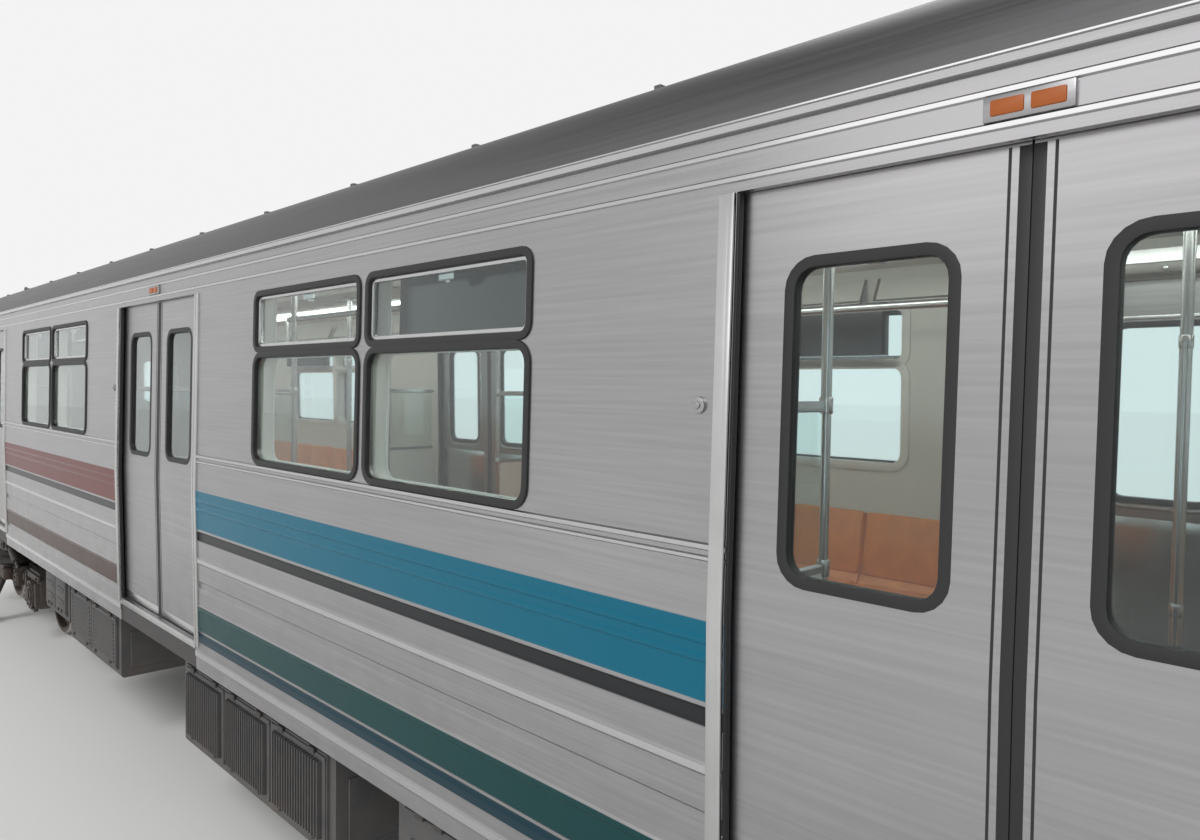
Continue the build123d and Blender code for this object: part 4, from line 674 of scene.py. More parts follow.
# crests of the side's pressed beads, lightened as a painted highlight: middle above the floor and half width
sideCrests = [(floorZ + middle - half, floorZ + middle + half) for middle, half in (
    (-0.060, 0.014), (0.205, 0.010), (0.465, 0.010), (0.752, 0.006), (0.800, 0.006), (1.010, 0.005),
    (1.040, 0.006), (1.962, 0.005), (2.030, 0.005))]
liningTone = (0.62, 0.61, 0.57)
finishes = {
    "body_steel": brushedSteel("bodySteel", steelTone, bands=bandTable, crests=sideCrests, lining=liningTone),
    # the cant rails carry the same painted highlight on their bead crests and along the drip rail's edge
    "cant_steel": brushedSteel("cantSteel", steelTone, lining=liningTone, dust=0.0,
                               crests=sideCrests[-2:] + [(car["cant"] - 0.024, car["cant"] + 0.001)]),
    "roof_steel": brushedSteel("roofSteel", (0.155, 0.152, 0.156), 0.45, dust=0.0),
    "end_steel": brushedSteel("endSteel", steelTone, 0.33),
    "end_wall": brushedSteel("endWallSteel", steelTone, 0.32, lining=liningTone, liningAt=("X", 7.364),
                             across=True),
    "end_door": brushedSteel("endDoorSteel", steelTone, 0.28, fineness=70.0, lining=liningTone,
                             liningAt=("X", 7.340), across=True),
    "door_steel": brushedSteel("doorSteel", steelTone, 0.29, fineness=70.0),
    "roof_unit_grey": dustyPaint("roofUnitGrey", (0.33, 0.34, 0.35), 0.5, dust=0.4, low=3.5, high=3.66),
    "window_glass": tintedGlass("windowGlass", (0.84, 0.95, 0.945)),
    "lining_cream": dustyPaint("liningCream", (0.66, 0.65, 0.61), 0.45, dust=0.0, mottle=0.05),
    "lamp_lens": glowing("lampLens", (1.0, 0.98, 0.92), 5.0),
    "seat_plastic": dustyPaint("seatPlastic", (0.62, 0.20, 0.035), 0.28, dust=0.0),
    "grab_steel": brightMetal("grabSteel", (0.55, 0.55, 0.55), 0.24),
    "cab_grey": dustyPaint("cabGrey", (0.34, 0.35, 0.36), 0.42, dust=0.0, mottle=0.06),
    "sign_black": newMaterial("signBlack", (0.012, 0.012, 0.013), 0.0, 0.12)[0],
    "equipment_grey": dustyPaint("equipmentGrey", (0.075, 0.078, 0.082), 0.55, dust=0.55, low=0.3, high=1.3),
    "underframe_paint": dustyPaint("underframePaint", (0.040, 0.040, 0.042), 0.55, dust=0.5, low=0.6,
                                   high=1.3),
    "floor_rubber": dustyPaint("floorRubber", (0.075, 0.070, 0.068), 0.6, dust=0.0),
    "coupler_iron": dustyPaint("couplerIron", (0.075, 0.070, 0.066), 0.42, 0.6, dust=0.45, low=0.3, high=1.0),
    "truck_iron": dustyPaint("truckIron", (0.060, 0.055, 0.052), 0.5, 0.3, dust=0.6, low=0.0, high=1.0),
    "air_spring_rubber": dustyPaint("airSpringRubber", (0.016, 0.016, 0.016), 0.6, dust=0.4, low=0.5,
                                    high=0.9),
    "motor_iron": dustyPaint("motorIron", (0.055, 0.056, 0.060), 0.5, 0.3, dust=0.55, low=0.1, high=0.9),
    "collector_fibre": dustyPaint("collectorFibre", (0.052, 0.034, 0.026), 0.6, dust=0.4, low=0.1, high=0.7,
                                  dustColour=(0.10, 0.085, 0.07)),
    "wheel_steel": dustyPaint("wheelSteel", (0.115, 0.095, 0.085), 0.5, 0.7, dust=0.5, low=0.0, high=1.0),
}
blackRubber = newMaterial("blackRubber", (0.014, 0.014, 0.015), 0.0, 0.55)[0]
brightTread = newMaterial("brightTread", (0.52, 0.50, 0.48), 1.0, 0.22)[0]
floor.data.materials.append(newMaterial("plainFloor", room["floorColour"], 0.0, 0.85)[0])

slotOf = {part["node"]: part["material_slot"] for part in frame["record"]["subparts"]}
for nodeName, nodeObj in frame["nodes"].items():
    key = slotOf[nodeName]
    for start, other in (("cant_rails", "cant_steel"), ("end_wall", "end_wall"), ("end_door", "end_door")):
        if nodeName.startswith(start) and key != "window_glass":
            key = other
    nodeObj.data.materials.clear()
    nodeObj.data.materials.append(finishes[key])
facesAt = {
    "lampX": 7.30, "tailY": 1.0, "panelY": 0.770, "panelLow": 1.290, "panelHigh": 2.070,
    "treadRadius": 0.418, "treadIn": 0.690, "treadOut": 0.808,
}
# end lamps: pale in the larger lamp, red in the smaller one; the ceiling diffusers stay lit
palePane = newMaterial("palePane", (0.62, 0.64, 0.66), 0.0, 0.08, 1.0)[0]
redPane = newMaterial("redPane", (0.30, 0.008, 0.006), 0.0, 0.10, 1.0)[0]
lenses = frame["nodes"]["lamp_lenses"].data
lenses.materials.append(palePane)
lenses.materials.append(redPane)
for face in lenses.polygons:
    if abs(face.center.x) > facesAt["lampX"]:
        face.material_index = 1 if abs(face.center.y) < facesAt["tailY"] else 2
# draught screens: the panels below the glass are lined
rails = frame["nodes"]["hand_rails"].data
rails.materials.append(finishes["lining_cream"])
for face in rails.polygons:
    inHeight = facesAt["panelLow"] < face.center.z < facesAt["panelHigh"]
    if inHeight and abs(face.center.y) > facesAt["panelY"]:
        face.material_index = 1
# wheels: the running tread and flange throat are bright, the rest dull
for number in range(1, 5):
    wheels = frame["nodes"]["wheelset_" + str(number)].data
    wheels.materials.append(brightTread)
    axleX = sum(v.co.x for v in wheels.vertices) / len(wheels.vertices)
    for face in wheels.polygons:
        reach = math.hypot(face.center.x - axleX, face.center.z - car["axleZ"])
        inTread = facesAt["treadIn"] < abs(face.center.y) < facesAt["treadOut"]
        if inTread and reach > facesAt["treadRadius"]:
            face.material_index = 1
print("stage: finishes on the frame")

# body side: window rubbers, inner liners, hopper frames with their latches
windows = {
    "bay": 2.515, "step": 0.535, "wide": 1.000, "endAt": 6.8495, "endWide": 0.561,
    "lower": (2.470, 0.510, 0.060), "hopper": (2.8875, 0.265, 0.040),
    "rubberIn": 0.011, "rubberOut": 0.016, "rubberFront": 0.007, "rubberBack": -0.016,
    "linerIn": 0.006, "linerOut": 0.040, "linerFront": -0.096, "linerBack": -0.108,
    "frameGap": 0.011, "frameWide": 0.016, "frameFront": -0.006, "frameBack": -0.034,
}
windowPlaces = [(end * windows["bay"] + step * windows["step"], windows["wide"])
                for end in (-1, 1) for step in (-1, 1)]
windowPlaces += [(end * windows["endAt"], windows["endWide"]) for end in (-1, 1)]
rubbers, liners, hopperFrames = [], [], []
for paneName in ("lower", "hopper"):
    middle, tall, corner = windows[paneName]
    for width in (windows["wide"], windows["endWide"]):
        places = bothSides([onUpperSide(x, middle) for x, wide in windowPlaces if wide == width])
        rubber = ring(width, tall, corner, windows["rubberIn"], windows["rubberOut"], windows["rubberFront"],
                      windows["rubberBack"], 0.003)
        liner = ring(width, tall, corner, windows["linerIn"], windows["linerOut"], windows["linerFront"],
                     windows["linerBack"], 0.004)
        rubbers += spread(rubber, places)
        liners += spread(liner, places)
        if paneName == "hopper":
            gap, top = windows["frameGap"], tall / 2
            hopperFrame = ring(width - 2 * gap, tall - 2 * gap, corner - gap, windows["frameWide"], 0.0,
                               windows["frameFront"], windows["frameBack"], 0.002)
            latch = together([block((-0.045, -0.040, top - 0.052), (0.045, -0.026, top - 0.026), 0.004),
                              block((-0.012, -0.052, top - 0.060), (0.012, -0.034, top - 0.030), 0.003)])
            hopperFrames += spread(hopperFrame, places) + spread(latch, places)
dress(rubbers, "windowRubbers", "air_spring_rubber", blackRubber)
dress(liners, "windowLiners", "lining_cream")
dress(hopperFrames, "hopperFrames", "grab_steel")
print("stage: side windows")

# side door leaves: window and nosing rubbers, kick plates, inner facings
leaf = {
    "windowAt": 0.34375, "middle": 2.515, "wide": 0.400, "tall": 0.760, "corner": 0.065,
    "depth": 0.030, "thick": 0.034, "foot": 1.155, "head": 3.114,
}


def leafPlaces():
    for side in ("left", "right"):
        for bay, x in doorCentres.items():
            for hand in ("fore", "aft"):
                place = Matrix.Translation((x, 0, 0))
                if hand == "aft":
                    place = place @ toAft
                if side == "right":
                    place = toRight @ place
                yield "door_" + side + "_" + bay + "_" + hand, place


outerFace, innerFace = -leaf["depth"], -leaf["depth"] - leaf["thick"]
leafWindow = onUpperSide(leaf["windowAt"], leaf["middle"], leaf["depth"])
wide, tall, corner, back = leaf["wide"], leaf["tall"], leaf["corner"], -leaf["thick"] - 0.001
rubberFoot, rubberHead, plateFoot = leaf["foot"] + 0.004, leaf["head"] - 0.040, leaf["foot"] + 0.002
leafRubber = together([
    moved(ring(wide, tall, corner, 0.014, 0.013, 0.001, back, 0.001), leafWindow),
    sideStrip(0.0006, 0.026, outerFace + 0.001, innerFace - 0.001, rubberFoot, rubberHead, 0.002),
    sideStrip(0.040, 0.046, outerFace + 0.0006, outerFace - 0.002, rubberFoot, rubberHead, 0.0),
])
leafTrim = together([
    sideStrip(0.034, 0.680, outerFace + 0.0009, outerFace - 0.002, plateFoot, plateFoot + 0.050, 0.0008),
    sideStrip(0.036, 0.704, innerFace + 0.002, innerFace - 0.0009, plateFoot, plateFoot + 0.150, 0.0008),
    sideStrip(0.070, 0.676, innerFace + 0.002, innerFace - 0.0009, 1.400, 2.060, 0.0008),
    moved(ring(wide + 0.040, tall + 0.040, corner + 0.02, 0.0, 0.018, -0.033, -0.0349, 0.0008), leafWindow),
])
for leafName, place in leafPlaces():
    dress([another(leafRubber, place)], leafName + "Rubber", "air_spring_rubber", blackRubber, leafName)
    dress([another(leafTrim, place)], leafName + "Trim", "grab_steel", body=leafName)
clearAway([leafRubber, leafTrim])
print("stage: side door leaves")

# doorways: wiper strips, jamb faces, grooved thresholds, door lamps, key switches, grab handles
doorway = {
    "wiper": 0.006, "foot": 1.152, "head": 3.078, "lampZ": 3.146, "switchX": 0.100, "switchZ": 2.550,
    "handleX": 0.105, "handleFeet": (1.370, 1.850), "handleAt": 1.95,
    "grooves": ((0.003, 0.011), (0.015, 0.023), (0.076, 0.084), (0.088, 0.096)),
}
half = car["doorHalf"]
wiperEdge = half - doorway["wiper"]
wipers = together([sideStrip(wiperEdge, half + 0.003, outer, inner, doorway["foot"], doorway["head"], 0.002)
                   for outer, inner in ((-0.003, -0.023), (-0.071, -0.098))])
jambs = together([sideStrip(half + 0.001, half + wide, outer, inner, 1.130, 3.079, 0.002)
                  for wide, outer, inner in ((0.050, 0.0085, -0.010), (0.018, 0.0115, 0.000))])
threshold = [sideStrip(-half + 0.004, half - 0.004, -near, -far, floorZ - 0.001, floorZ + 0.0035, 0.001)
             for near, far in doorway["grooves"]]
threshold.append(sideStrip(-half + 0.002, half - 0.002, 0.004, -0.001, 1.112, 1.1515, 0.001))
lampZ = doorway["lampZ"]
lampY = sideY(lampZ)
lampCase = [block((-0.085, lampY - 0.004, lampZ - 0.026), (0.085, lampY + 0.010, lampZ + 0.026), 0.004, 2)]
lampGlass = [block((side * 0.070, lampY, lampZ - 0.016), (side * 0.006, lampY + 0.014, lampZ + 0.016),
                   0.004, 2) for side in (-1, 1)]
switchX, switchZ = half + doorway["switchX"], doorway["switchZ"]
switchY = sideY(switchZ)
keySwitch = [rod((switchX, switchY + 0.002, switchZ), 0.022, 0.012, "Y", 20, 0.002),
             rod((switchX, switchY + 0.008, switchZ), 0.010, 0.010, "Y", 12, 0.002)]
handleX, feet = -half - doorway["handleX"], doorway["handleFeet"]
handle = [rod((handleX, sideY(1.55) + 0.034, 1.610), 0.012, 0.520, "Z", 14, 0.003)]
handle += [rod((handleX, sideY(foot) + 0.014, foot), 0.010, 0.042, "Y", 12) for foot in feet]
handle += [rod((handleX, sideY(foot) + 0.002, foot), 0.024, 0.006, "Y", 16, 0.001) for foot in feet]
shifts = [Matrix.Translation((x, 0, 0)) for x in doorCentres.values()]
perDoorway = bothSides(shifts)
perJamb = bothSides([m for shift in shifts for m in (shift, shift @ toAft)])
handleShift = Matrix.Translation((doorCentres["front"] + doorway["handleAt"], 0, 0))
wiperAll = spread(wipers, perJamb)
jambAll = spread(jambs, perJamb) + spread(together(handle), bothSides([handleShift, toAft @ handleShift]))
thresholdAll = spread(together(threshold), perDoorway)
caseAll = spread(together(lampCase + keySwitch), perDoorway)
glassAll = spread(together(lampGlass), perDoorway)
dress(wiperAll, "doorwayWipers", "air_spring_rubber", blackRubber)
dress(jambAll, "doorwayJambs", "body_steel", finishes["grab_steel"])
dress(thresholdAll, "thresholdRibs", "grab_steel")
dress(caseAll, "doorLampCases", "body_steel", finishes["end_steel"])
amber = glowing("amberLens", (0.36, 0.085, 0.008), 0.04)
dress(glassAll, "doorLampLenses", "lamp_lens", amber)
print("stage: doorways")

# roof: trim of vents, hatches and lifting eyes, antenna, cable runs, fan guards, unit grilles
roof = {
    "radius": 5.335, "ribTop": 3.597, "vents": (-1.50, -0.75, 0.0, 0.75, 1.50), "hatchX": 6.30,
    "eyeX": 5.30, "eyeY": 0.93, "unitX": 3.600, "unitHalf": 1.150, "unitWide": 0.760, "unitTop": 3.648,
    "fanStep": 0.520, "guards": (0.325, 0.262, 0.198, 0.134), "spoke": (0.10, 0.335), "runY": 0.990,
    "runLength": 13.6, "lidX": 0.918,
}


def roofZ(y):
    return car["crown"] - roof["radius"] + math.sqrt(roof["radius"] ** 2 - y * y)


roofTrim, roofGuards = [], []
crown, ribTop, unitTop = car["crown"], roof["ribTop"], roof["unitTop"]
for x in roof["vents"]:  # bead and bolt on each vent's cap
    roofTrim.append(hoop((x, 0, crown + 0.055), 0.078, 0.004, "Z", 32, 6))
    roofTrim.append(bolt((x, 0, crown + 0.057), 0.013, 0.010))
for x in (-roof["hatchX"], roof["hatchX"]):  # bolts of the hatch covers over the end bays
    for y in (-0.20, 0.20):
        roofTrim += boltGrid((x - 0.20, x, x + 0.20), (y,), (ribTop + 0.024,), 0.012, 0.008)
roofTrim.append(block((5.52, -0.10, crown - 0.006), (5.72, 0.10, ribTop + 0.018), 0.008, 2))
roofTrim.append(block((5.56, -0.045, ribTop), (5.68, 0.045, ribTop + 0.046), 0.016, 3))
for x in (-roof["eyeX"], roof["eyeX"]):
    for y in (-roof["eyeY"], roof["eyeY"]):  # bolts of the lifting eyes' pads
        padX, padY = (x - 0.068, x + 0.068), (y - 0.034, y + 0.034)
        roofTrim += boltGrid(padX, padY, (roofZ(y) + 0.017,), 0.010, 0.010)
runZ = roofZ(roof["runY"]) + 0.022
for side in (-1, 1):
    y = side * roof["runY"]
    roofTrim.append(rod((0, y, runZ), 0.011, roof["runLength"], "X", 10))
    clip = block((-6.72, y - 0.026, runZ - 0.040), (-6.69, y + 0.026, runZ + 0.014), 0.003)
    roofTrim.append(rowOf(clip, 15, (0.96, 0, 0)))
for x in (-roof["unitX"], roof["unitX"]):
    for side in (-1, 1):
        y = side * roof["unitWide"]
        z = roofZ(y)
        start, finish = x - roof["unitHalf"], x + roof["unitHalf"]
        roofTrim.append(block((start, y - 0.004, z - 0.012), (finish, y + side * 0.030, z + 0.016), 0.003))
        grille = block((x - 0.92, y, 3.530), (x - 0.895, y + side * 0.010, 3.575), 0.002)
        roofGuards.append(rowOf(grille, 46, (0.040, 0, 0)))
    for fanX in (x - roof["fanStep"], x + roof["fanStep"]):
        for radius in roof["guards"]:
            roofGuards.append(hoop((fanX, 0, unitTop - 0.006), radius, 0.0042, "Z", 40, 6))
        near, far = [circlePoints(8, radius, 0.2) for radius in roof["spoke"]]
        for (x0, y0), (x1, y1) in zip(near, far):
            spoke = rodBetween((fanX + x0, y0, unitTop - 0.010), (fanX + x1, y1, unitTop - 0.010), 0.004, 8)
            roofGuards.append(spoke)
    for lidX in (x - roof["lidX"], x, x + roof["lidX"]):
        for y in (-0.56, 0.56):
            roofTrim.append(rod((lidX, y, unitTop - 0.003), 0.016, 0.006, "Z", 8))
dress(roofTrim, "roofFittings", "roof_steel")
dress(roofGuards, "roofFanGuards", "equipment_grey")
print("stage: roof")

# ends: window rubbers and frames, lamp bezels, door surrounds, sign frames, step grips, socket caps
ends = {
    "windowY": 0.830, "windowZ": 2.575, "windowWide": 0.560, "windowTall": 0.750, "corner": 0.070,
    "lampZ": 1.450, "lamps": ((0.900, 0.082), (1.090, 0.062)), "signZ": 3.210, "signWide": 0.560,
    "signTall": 0.150, "doorHalf": 0.380, "doorFace": 7.354, "doorWide": 0.420, "stepY": 0.92,
    "socketY": 0.470, "railX": 7.450, "railZ": 3.135,
}
faceX, headZ = car["halfLength"], car["doorHead"]
toEnd = Matrix.Rotation(-math.pi / 2, 4, "Z")


def onEnd(y, z, depth=0.0):
    return Matrix.Translation((faceX - depth, y, z)) @ toEnd


endRubber, endTrim, endBezels, lampRings, tailRings = [], [], [], [], []
for side in (-1, 1):
    windowPlace = onEnd(side * ends["windowY"], ends["windowZ"])
    size = (ends["windowWide"], ends["windowTall"], ends["corner"])
    endRubber.append(moved(ring(*size, 0.014, 0.022, 0.008, -0.018, 0.003), windowPlace))
    endTrim.append(moved(ring(*size, 0.014, 0.0, -0.036, -0.0597, 0.003), windowPlace))
    for (y, radius), rings in zip(ends["lamps"], (lampRings, tailRings)):
        endBezels.append(hoop((faceX + 0.001, side * y, ends["lampZ"]), radius + 0.008, 0.010, "X", 40, 10))
        for share in (0.34, 0.67):
            rings.append(hoop((faceX - 0.0048, side * y, ends["lampZ"]), radius * share, 0.0024, "X", 36, 6))
        rings.append(rod((faceX - 0.004, side * y, ends["lampZ"]), 0.012, 0.008, "X", 20, 0.003))
    edge = side * ends["doorHalf"]
    endBezels.append(block((7.358, edge, 1.152), (faceX + 0.006, edge + side * 0.004, headZ), 0.002))
    endBezels.append(block((faceX - 0.004, edge, 1.115), (faceX + 0.005, edge + side * 0.034, 3.112), 0.002))
    endRubber.append(block((7.3555, edge - side * 0.010, 1.156), (7.380, edge, 3.078), 0.003))
    # grip ribs on the corner steps
    stepY = side * ends["stepY"]
    for z in (0.612, 0.812):
        grip = block((7.322, stepY - 0.165, z - 0.002), (7.327, stepY + 0.165, z + 0.0035), 0.001)
        endTrim.append(rowOf(grip, 6, (0.013, 0, 0)))
    # caps, hinges and bolts of the jumper sockets
    y = side * ends["socketY"]
    endTrim.append(rod((7.4885, y, 0.930), 0.046, 0.007, "X", 28, 0.002))
    endTrim.append(rodBetween((7.484, y - 0.040, 0.984), (7.484, y + 0.040, 0.984), 0.007, 12, 0.002))
    endTrim.append(block((7.480, y - 0.014, 0.930), (7.4965, y + 0.014, 0.990), 0.003))
    endTrim += boltGrid((7.457,), (y - 0.054, y + 0.054), (0.886, 0.976), 0.007, 0.008, "X")
signFrame = ring(ends["signWide"], ends["signTall"], 0.020, 0.004, 0.020, 0.006, -0.012, 0.002)
endBezels.append(moved(signFrame, onEnd(0, ends["signZ"])))
doorHalf = ends["doorHalf"]
lintelLow, lintelHigh = (faceX - 0.004, -doorHalf, headZ + 0.002), (faceX + 0.006, doorHalf, headZ + 0.034)
endBezels.append(block(lintelLow, lintelHigh, 0.002))
endBezels.append(block((7.362, -0.376, 1.1495), (faceX, 0.376, 1.1535), 0.001))
endTrim += boltGrid((7.487,), (-0.48, -0.16, 0.16, 0.48), (1.024, 1.086), 0.013, 0.010, "X")
railX, railZ = ends["railX"], ends["railZ"]
endBezels.append(rodBetween((railX, -0.34, railZ), (railX, 0.34, railZ), 0.010, 10, 0.003))
for y in (-0.32, 0.32):
    endBezels.append(rodBetween((7.418, y, railZ), (7.452, y, railZ), 0.008, 10))
dress(bothEnds(endRubber), "endRubbers", "air_spring_rubber", blackRubber)
dress(bothEnds(endTrim), "endSteps", "underframe_paint")
dress(bothEnds(endBezels), "endBezels", "grab_steel")
dress(bothEnds(lampRings), "lampRings", "lamp_lens", palePane)
dress(bothEnds(tailRings), "tailRings", "lamp_lens", redPane)

# cab end only: windscreen wipers, horn fittings
wiper = {"pivotY": 0.700, "pivotZ": 2.130, "armTop": 2.560, "reach": 0.145, "lean": 0.012}
pivotZ, armTop = wiper["pivotZ"], wiper["armTop"]
cabFront = []
for side in (-1, 1):
    pivotY, tipY = side * wiper["pivotY"], side * (wiper["pivotY"] + wiper["reach"])
    footY, headY = tipY - side * wiper["lean"], tipY + side * wiper["lean"]
    cabFront.append(rod((7.428, pivotY, pivotZ), 0.022, 0.030, "X", 16, 0.004))
    cabFront.append(rodBetween((7.436, pivotY, pivotZ), (7.444, tipY, armTop), 0.006, 8))
    bladeFoot, bladeHead = (7.438, footY, armTop - 0.230), (7.438, headY, armTop + 0.200)
    cabFront.append(rodBetween(bladeFoot, bladeHead, 0.007, 8, 0.002))
    cabFront.append(rodBetween((7.434, footY, armTop - 0.240), (7.434, headY, armTop + 0.210), 0.0045, 6))
dress(cabFront, "wipers", "equipment_grey", blackRubber)
horn = {"y": -0.620, "z": 0.900, "boltCircle": 0.041}
hornFittings = [hoop((7.400, horn["y"], horn["z"]), 0.060, 0.005, "X", 36),
                rod((7.077, horn["y"], horn["z"]), 0.034, 0.012, "X", 24, 0.003)]
for y, z in circlePoints(6, horn["boltCircle"]):
    hornFittings.append(rod((7.110, horn["y"] + y, horn["z"] + z), 0.006, 0.074, "X", 8))
dress(hornFittings, "hornFittings", "underframe_paint")

# gangway doors: window rubber, kick plates, flush pull outside, bow handle inside
doorWindow = onEnd(0, ends["windowZ"], faceX - ends["doorFace"])
doorRubber = moved(ring(ends["doorWide"], 0.750, 0.065, 0.012, 0.014, 0.001, -0.036, 0.001), doorWindow)
doorTrim = together([
    block((7.352, -0.372, 1.160), (7.3549, 0.372, 1.400), 0.0008),
    block((7.3185, -0.390, 1.160), (7.323, 0.390, 1.420), 0.0012),
    block((7.352, -0.345, 1.990), (7.3549, -0.285, 2.130), 0.0008),
    rodBetween((7.292, -0.300, 1.880), (7.292, -0.300, 2.180), 0.010, 12, 0.003),
    rodBetween((7.292, -0.300, 1.900), (7.323, -0.300, 1.900), 0.008, 10),
    rodBetween((7.292, -0.300, 2.160), (7.323, -0.300, 2.160), 0.008, 10),
])
for end, place in endPlaces:
    body = "end_door_" + end
    dress([another(doorRubber, place)], "endDoor_" + end + "_rubber", "air_spring_rubber", blackRubber, body)
    dress([another(doorTrim, place)], "endDoor_" + end + "_trim", "grab_steel", body=body)
clearAway([doorRubber, doorTrim])
print("stage: ends")

# couplers: bolts, release lever, face rim, hoses along the drawbar, contact box shutter
coupler = {"z": 0.740, "pivotX": 6.950, "leverX": 7.640, "hoseY": 0.064, "hoseZ": 0.700}
leverX, hoseZ = coupler["leverX"], coupler["hoseZ"]
couplerBits = [
    bolt((7.690, 0, 0.904), 0.020, 0.010),
    hoop((7.690, 0, 0.902), 0.044, 0.004, "Z", 32, 6),
    rodBetween((leverX, 0.165, 0.790), (7.560, 0.245, 0.840), 0.011, 10, 0.003),
    rodBetween((leverX, 0.150, 0.790), (leverX, 0.178, 0.790), 0.020, 14, 0.004),
    block((7.806, -0.135, 0.492), (7.822, 0.135, 0.598), 0.004),
    rod((coupler["pivotX"], 0, 0.812), 0.060, 0.012, "Z", 20, 0.003),
]
couplerBits += boltGrid((7.620, 7.770), (-0.105, 0.105), (0.890,), 0.012, 0.012)
for side in (-1, 1):
    for z in (0.640, 0.840):
        couplerBits += boltGrid((7.610, 7.700, 7.790), (side * 0.173,), (z,), 0.012, 0.010, "Y")
    if side < 0:
        couplerBits.append(hoop((7.826, -0.080, coupler["z"]), 0.058, 0.004, "X", 36, 6))
    else:
        couplerBits.append(bolt((7.783, 0.080, coupler["z"]), 0.016, 0.012, "X"))
    y = side * coupler["hoseY"]
    couplerBits.append(rodBetween((7.080, y, hoseZ), (7.470, y, hoseZ), 0.011, 10))
    couplerBits.append(rodBetween((7.470, y, hoseZ), (7.600, side * 0.110, 0.600), 0.011, 10))
    clipY = side * 0.054
    couplerBits.append(block((7.200, clipY - 0.012, 0.686), (7.240, clipY + 0.022, 0.752), 0.003))
for end, place in endPlaces:
    copies = [another(piece, place) for piece in couplerBits]
    dress(copies, "couplerFittings_" + end, "coupler_iron", body="coupler_" + end)
clearAway(couplerBits)
print("stage: couplers")

# saloon: draught screens and posts, seat pads, heater grilles, header fittings, blank card frames
saloon = {
    "screenX": (-5.775, -4.285, -0.745, 0.745, 4.285), "screenIn": 0.770, "screenOut": 1.184,
    "screenLow": 1.300, "postY": 0.752, "ceiling": 3.230, "padWide": 0.435, "padGap": 0.012,
    "benchSpans": ((0.775, 4.255), (-4.255, -0.775), (-7.210, -5.805)), "slatPitch": 0.024,
    "cardPitch": 0.86, "cardTilt": -24,
}
near, far, screenLow = saloon["screenIn"], saloon["screenOut"], saloon["screenLow"]
screenPlaces = bothSides([Matrix.Translation((x, 0, 0)) for x in saloon["screenX"]])
screenPanel = together([
    block((-0.013, near, screenLow - 0.012), (0.013, far, screenLow + 0.010), 0.003),
    block((-0.013, near, 2.050), (0.013, far, 2.074), 0.003),
    block((-0.013, near, 2.528), (0.013, far - 0.010, 2.540), 0.003),
])
screenGlass = block((-0.004, near + 0.004, 2.072), (0.004, far - 0.012, 2.530), 0.001)
post = together([rod((0, saloon["postY"], z), radius, tall, "Z", 20, 0.003) for z, radius, tall in (
    (floorZ + 0.006, 0.034, 0.012), (saloon["ceiling"] - 0.006, 0.034, 0.012),
    (2.548, 0.021, 0.050), (2.062, 0.021, 0.050))])
dress(spread(screenPanel, screenPlaces), "draughtScreens", "grab_steel", finishes["end_steel"])
dress(spread(screenGlass, screenPlaces), "draughtGlass", "window_glass")
dress(spread(post, screenPlaces), "screenPosts", "grab_steel")

pads = []
for low, high in saloon["benchSpans"]:
    count = int((high - low) / saloon["padWide"])
    pitch = (high - low) / count
    half, middle = pitch / 2 - saloon["padGap"], low + pitch / 2
    pad = block((middle - half, 0.748, 1.566), (middle + half, 1.090, 1.598), 0.014, 3)
    front = block((middle - half, 0.733, 1.540), (middle + half, 0.760, 1.590), 0.010, 3)
    lean = Matrix.Translation((middle, 1.112, 1.632)) @ Matrix.Rotation(-math.atan(47 / 310), 4, "X")
    back = moved(block((-half, -0.012, 0.0), (half, 0.012, 0.330), 0.011, 3), lean)
    pads += paired([rowOf(together([pad, front, back]), count, (pitch, 0, 0))])
dress(pads, "seatPads", "seat_plastic")

grilles, headers, cardFrames, cards = [], [], [], []
for low, high in saloon["benchSpans"]:
    slatPitch, cardPitch = saloon["slatPitch"], saloon["cardPitch"]
    count = int((high - low - 0.10) / slatPitch)
    slat = block((low + 0.050, 1.046, 1.225), (low + 0.062, 1.060, 1.490), 0.002)
    frameLow = block((low + 0.02, 1.050, 1.190), (high - 0.02, 1.061, 1.222), 0.003)
    frameTop = block((low + 0.02, 1.050, 1.492), (high - 0.02, 1.061, 1.520), 0.003)
    grilles += paired([together([rowOf(slat, count, (slatPitch, 0, 0)), frameLow, frameTop])])
    cardCount = int((high - low) / cardPitch)
    first = (low + high) / 2 - (cardCount - 1) * cardPitch / 2
    cardTurn = Matrix.Rotation(math.radians(saloon["cardTilt"]), 4, "X")
    tilt = Matrix.Translation((first, 1.168, 3.128)) @ cardTurn
    cardFrame = moved(ring(0.78, 0.150, 0.012, 0.006, 0.010, 0.006, -0.006, 0.002), tilt @ halfTurn)
    card = moved(block((-0.385, -0.002, -0.072), (0.385, 0.002, 0.072), 0.001), tilt)
    cardFrames += paired([rowOf(cardFrame, cardCount, (cardPitch, 0, 0))])
    cards += paired([rowOf(card, cardCount, (cardPitch, 0, 0))])
for x in doorCentres.values():
    strip = block((x - 0.60, 1.054, 3.130), (x + 0.60, 1.064, 3.190), 0.003)
    hinges = rowOf(rod((x - 0.55, 1.060, 3.205), 0.008, 0.060, "X", 12, 0.002), 3, (0.55, 0, 0))
    locks = rowOf(rod((x - 0.30, 1.058, 3.108), 0.010, 0.008, "Y", 12, 0.002), 2, (0.60, 0, 0))
    headers += paired([hinges, locks])
    cardFrames += paired([strip])
dress(grilles, "heaterGrilles", "grab_steel", finishes["end_steel"])
dress(headers, "headerFittings", "grab_steel")
dress(cardFrames, "cardFrames", "grab_steel")
dress(cards, "blankCards", "lining_cream")

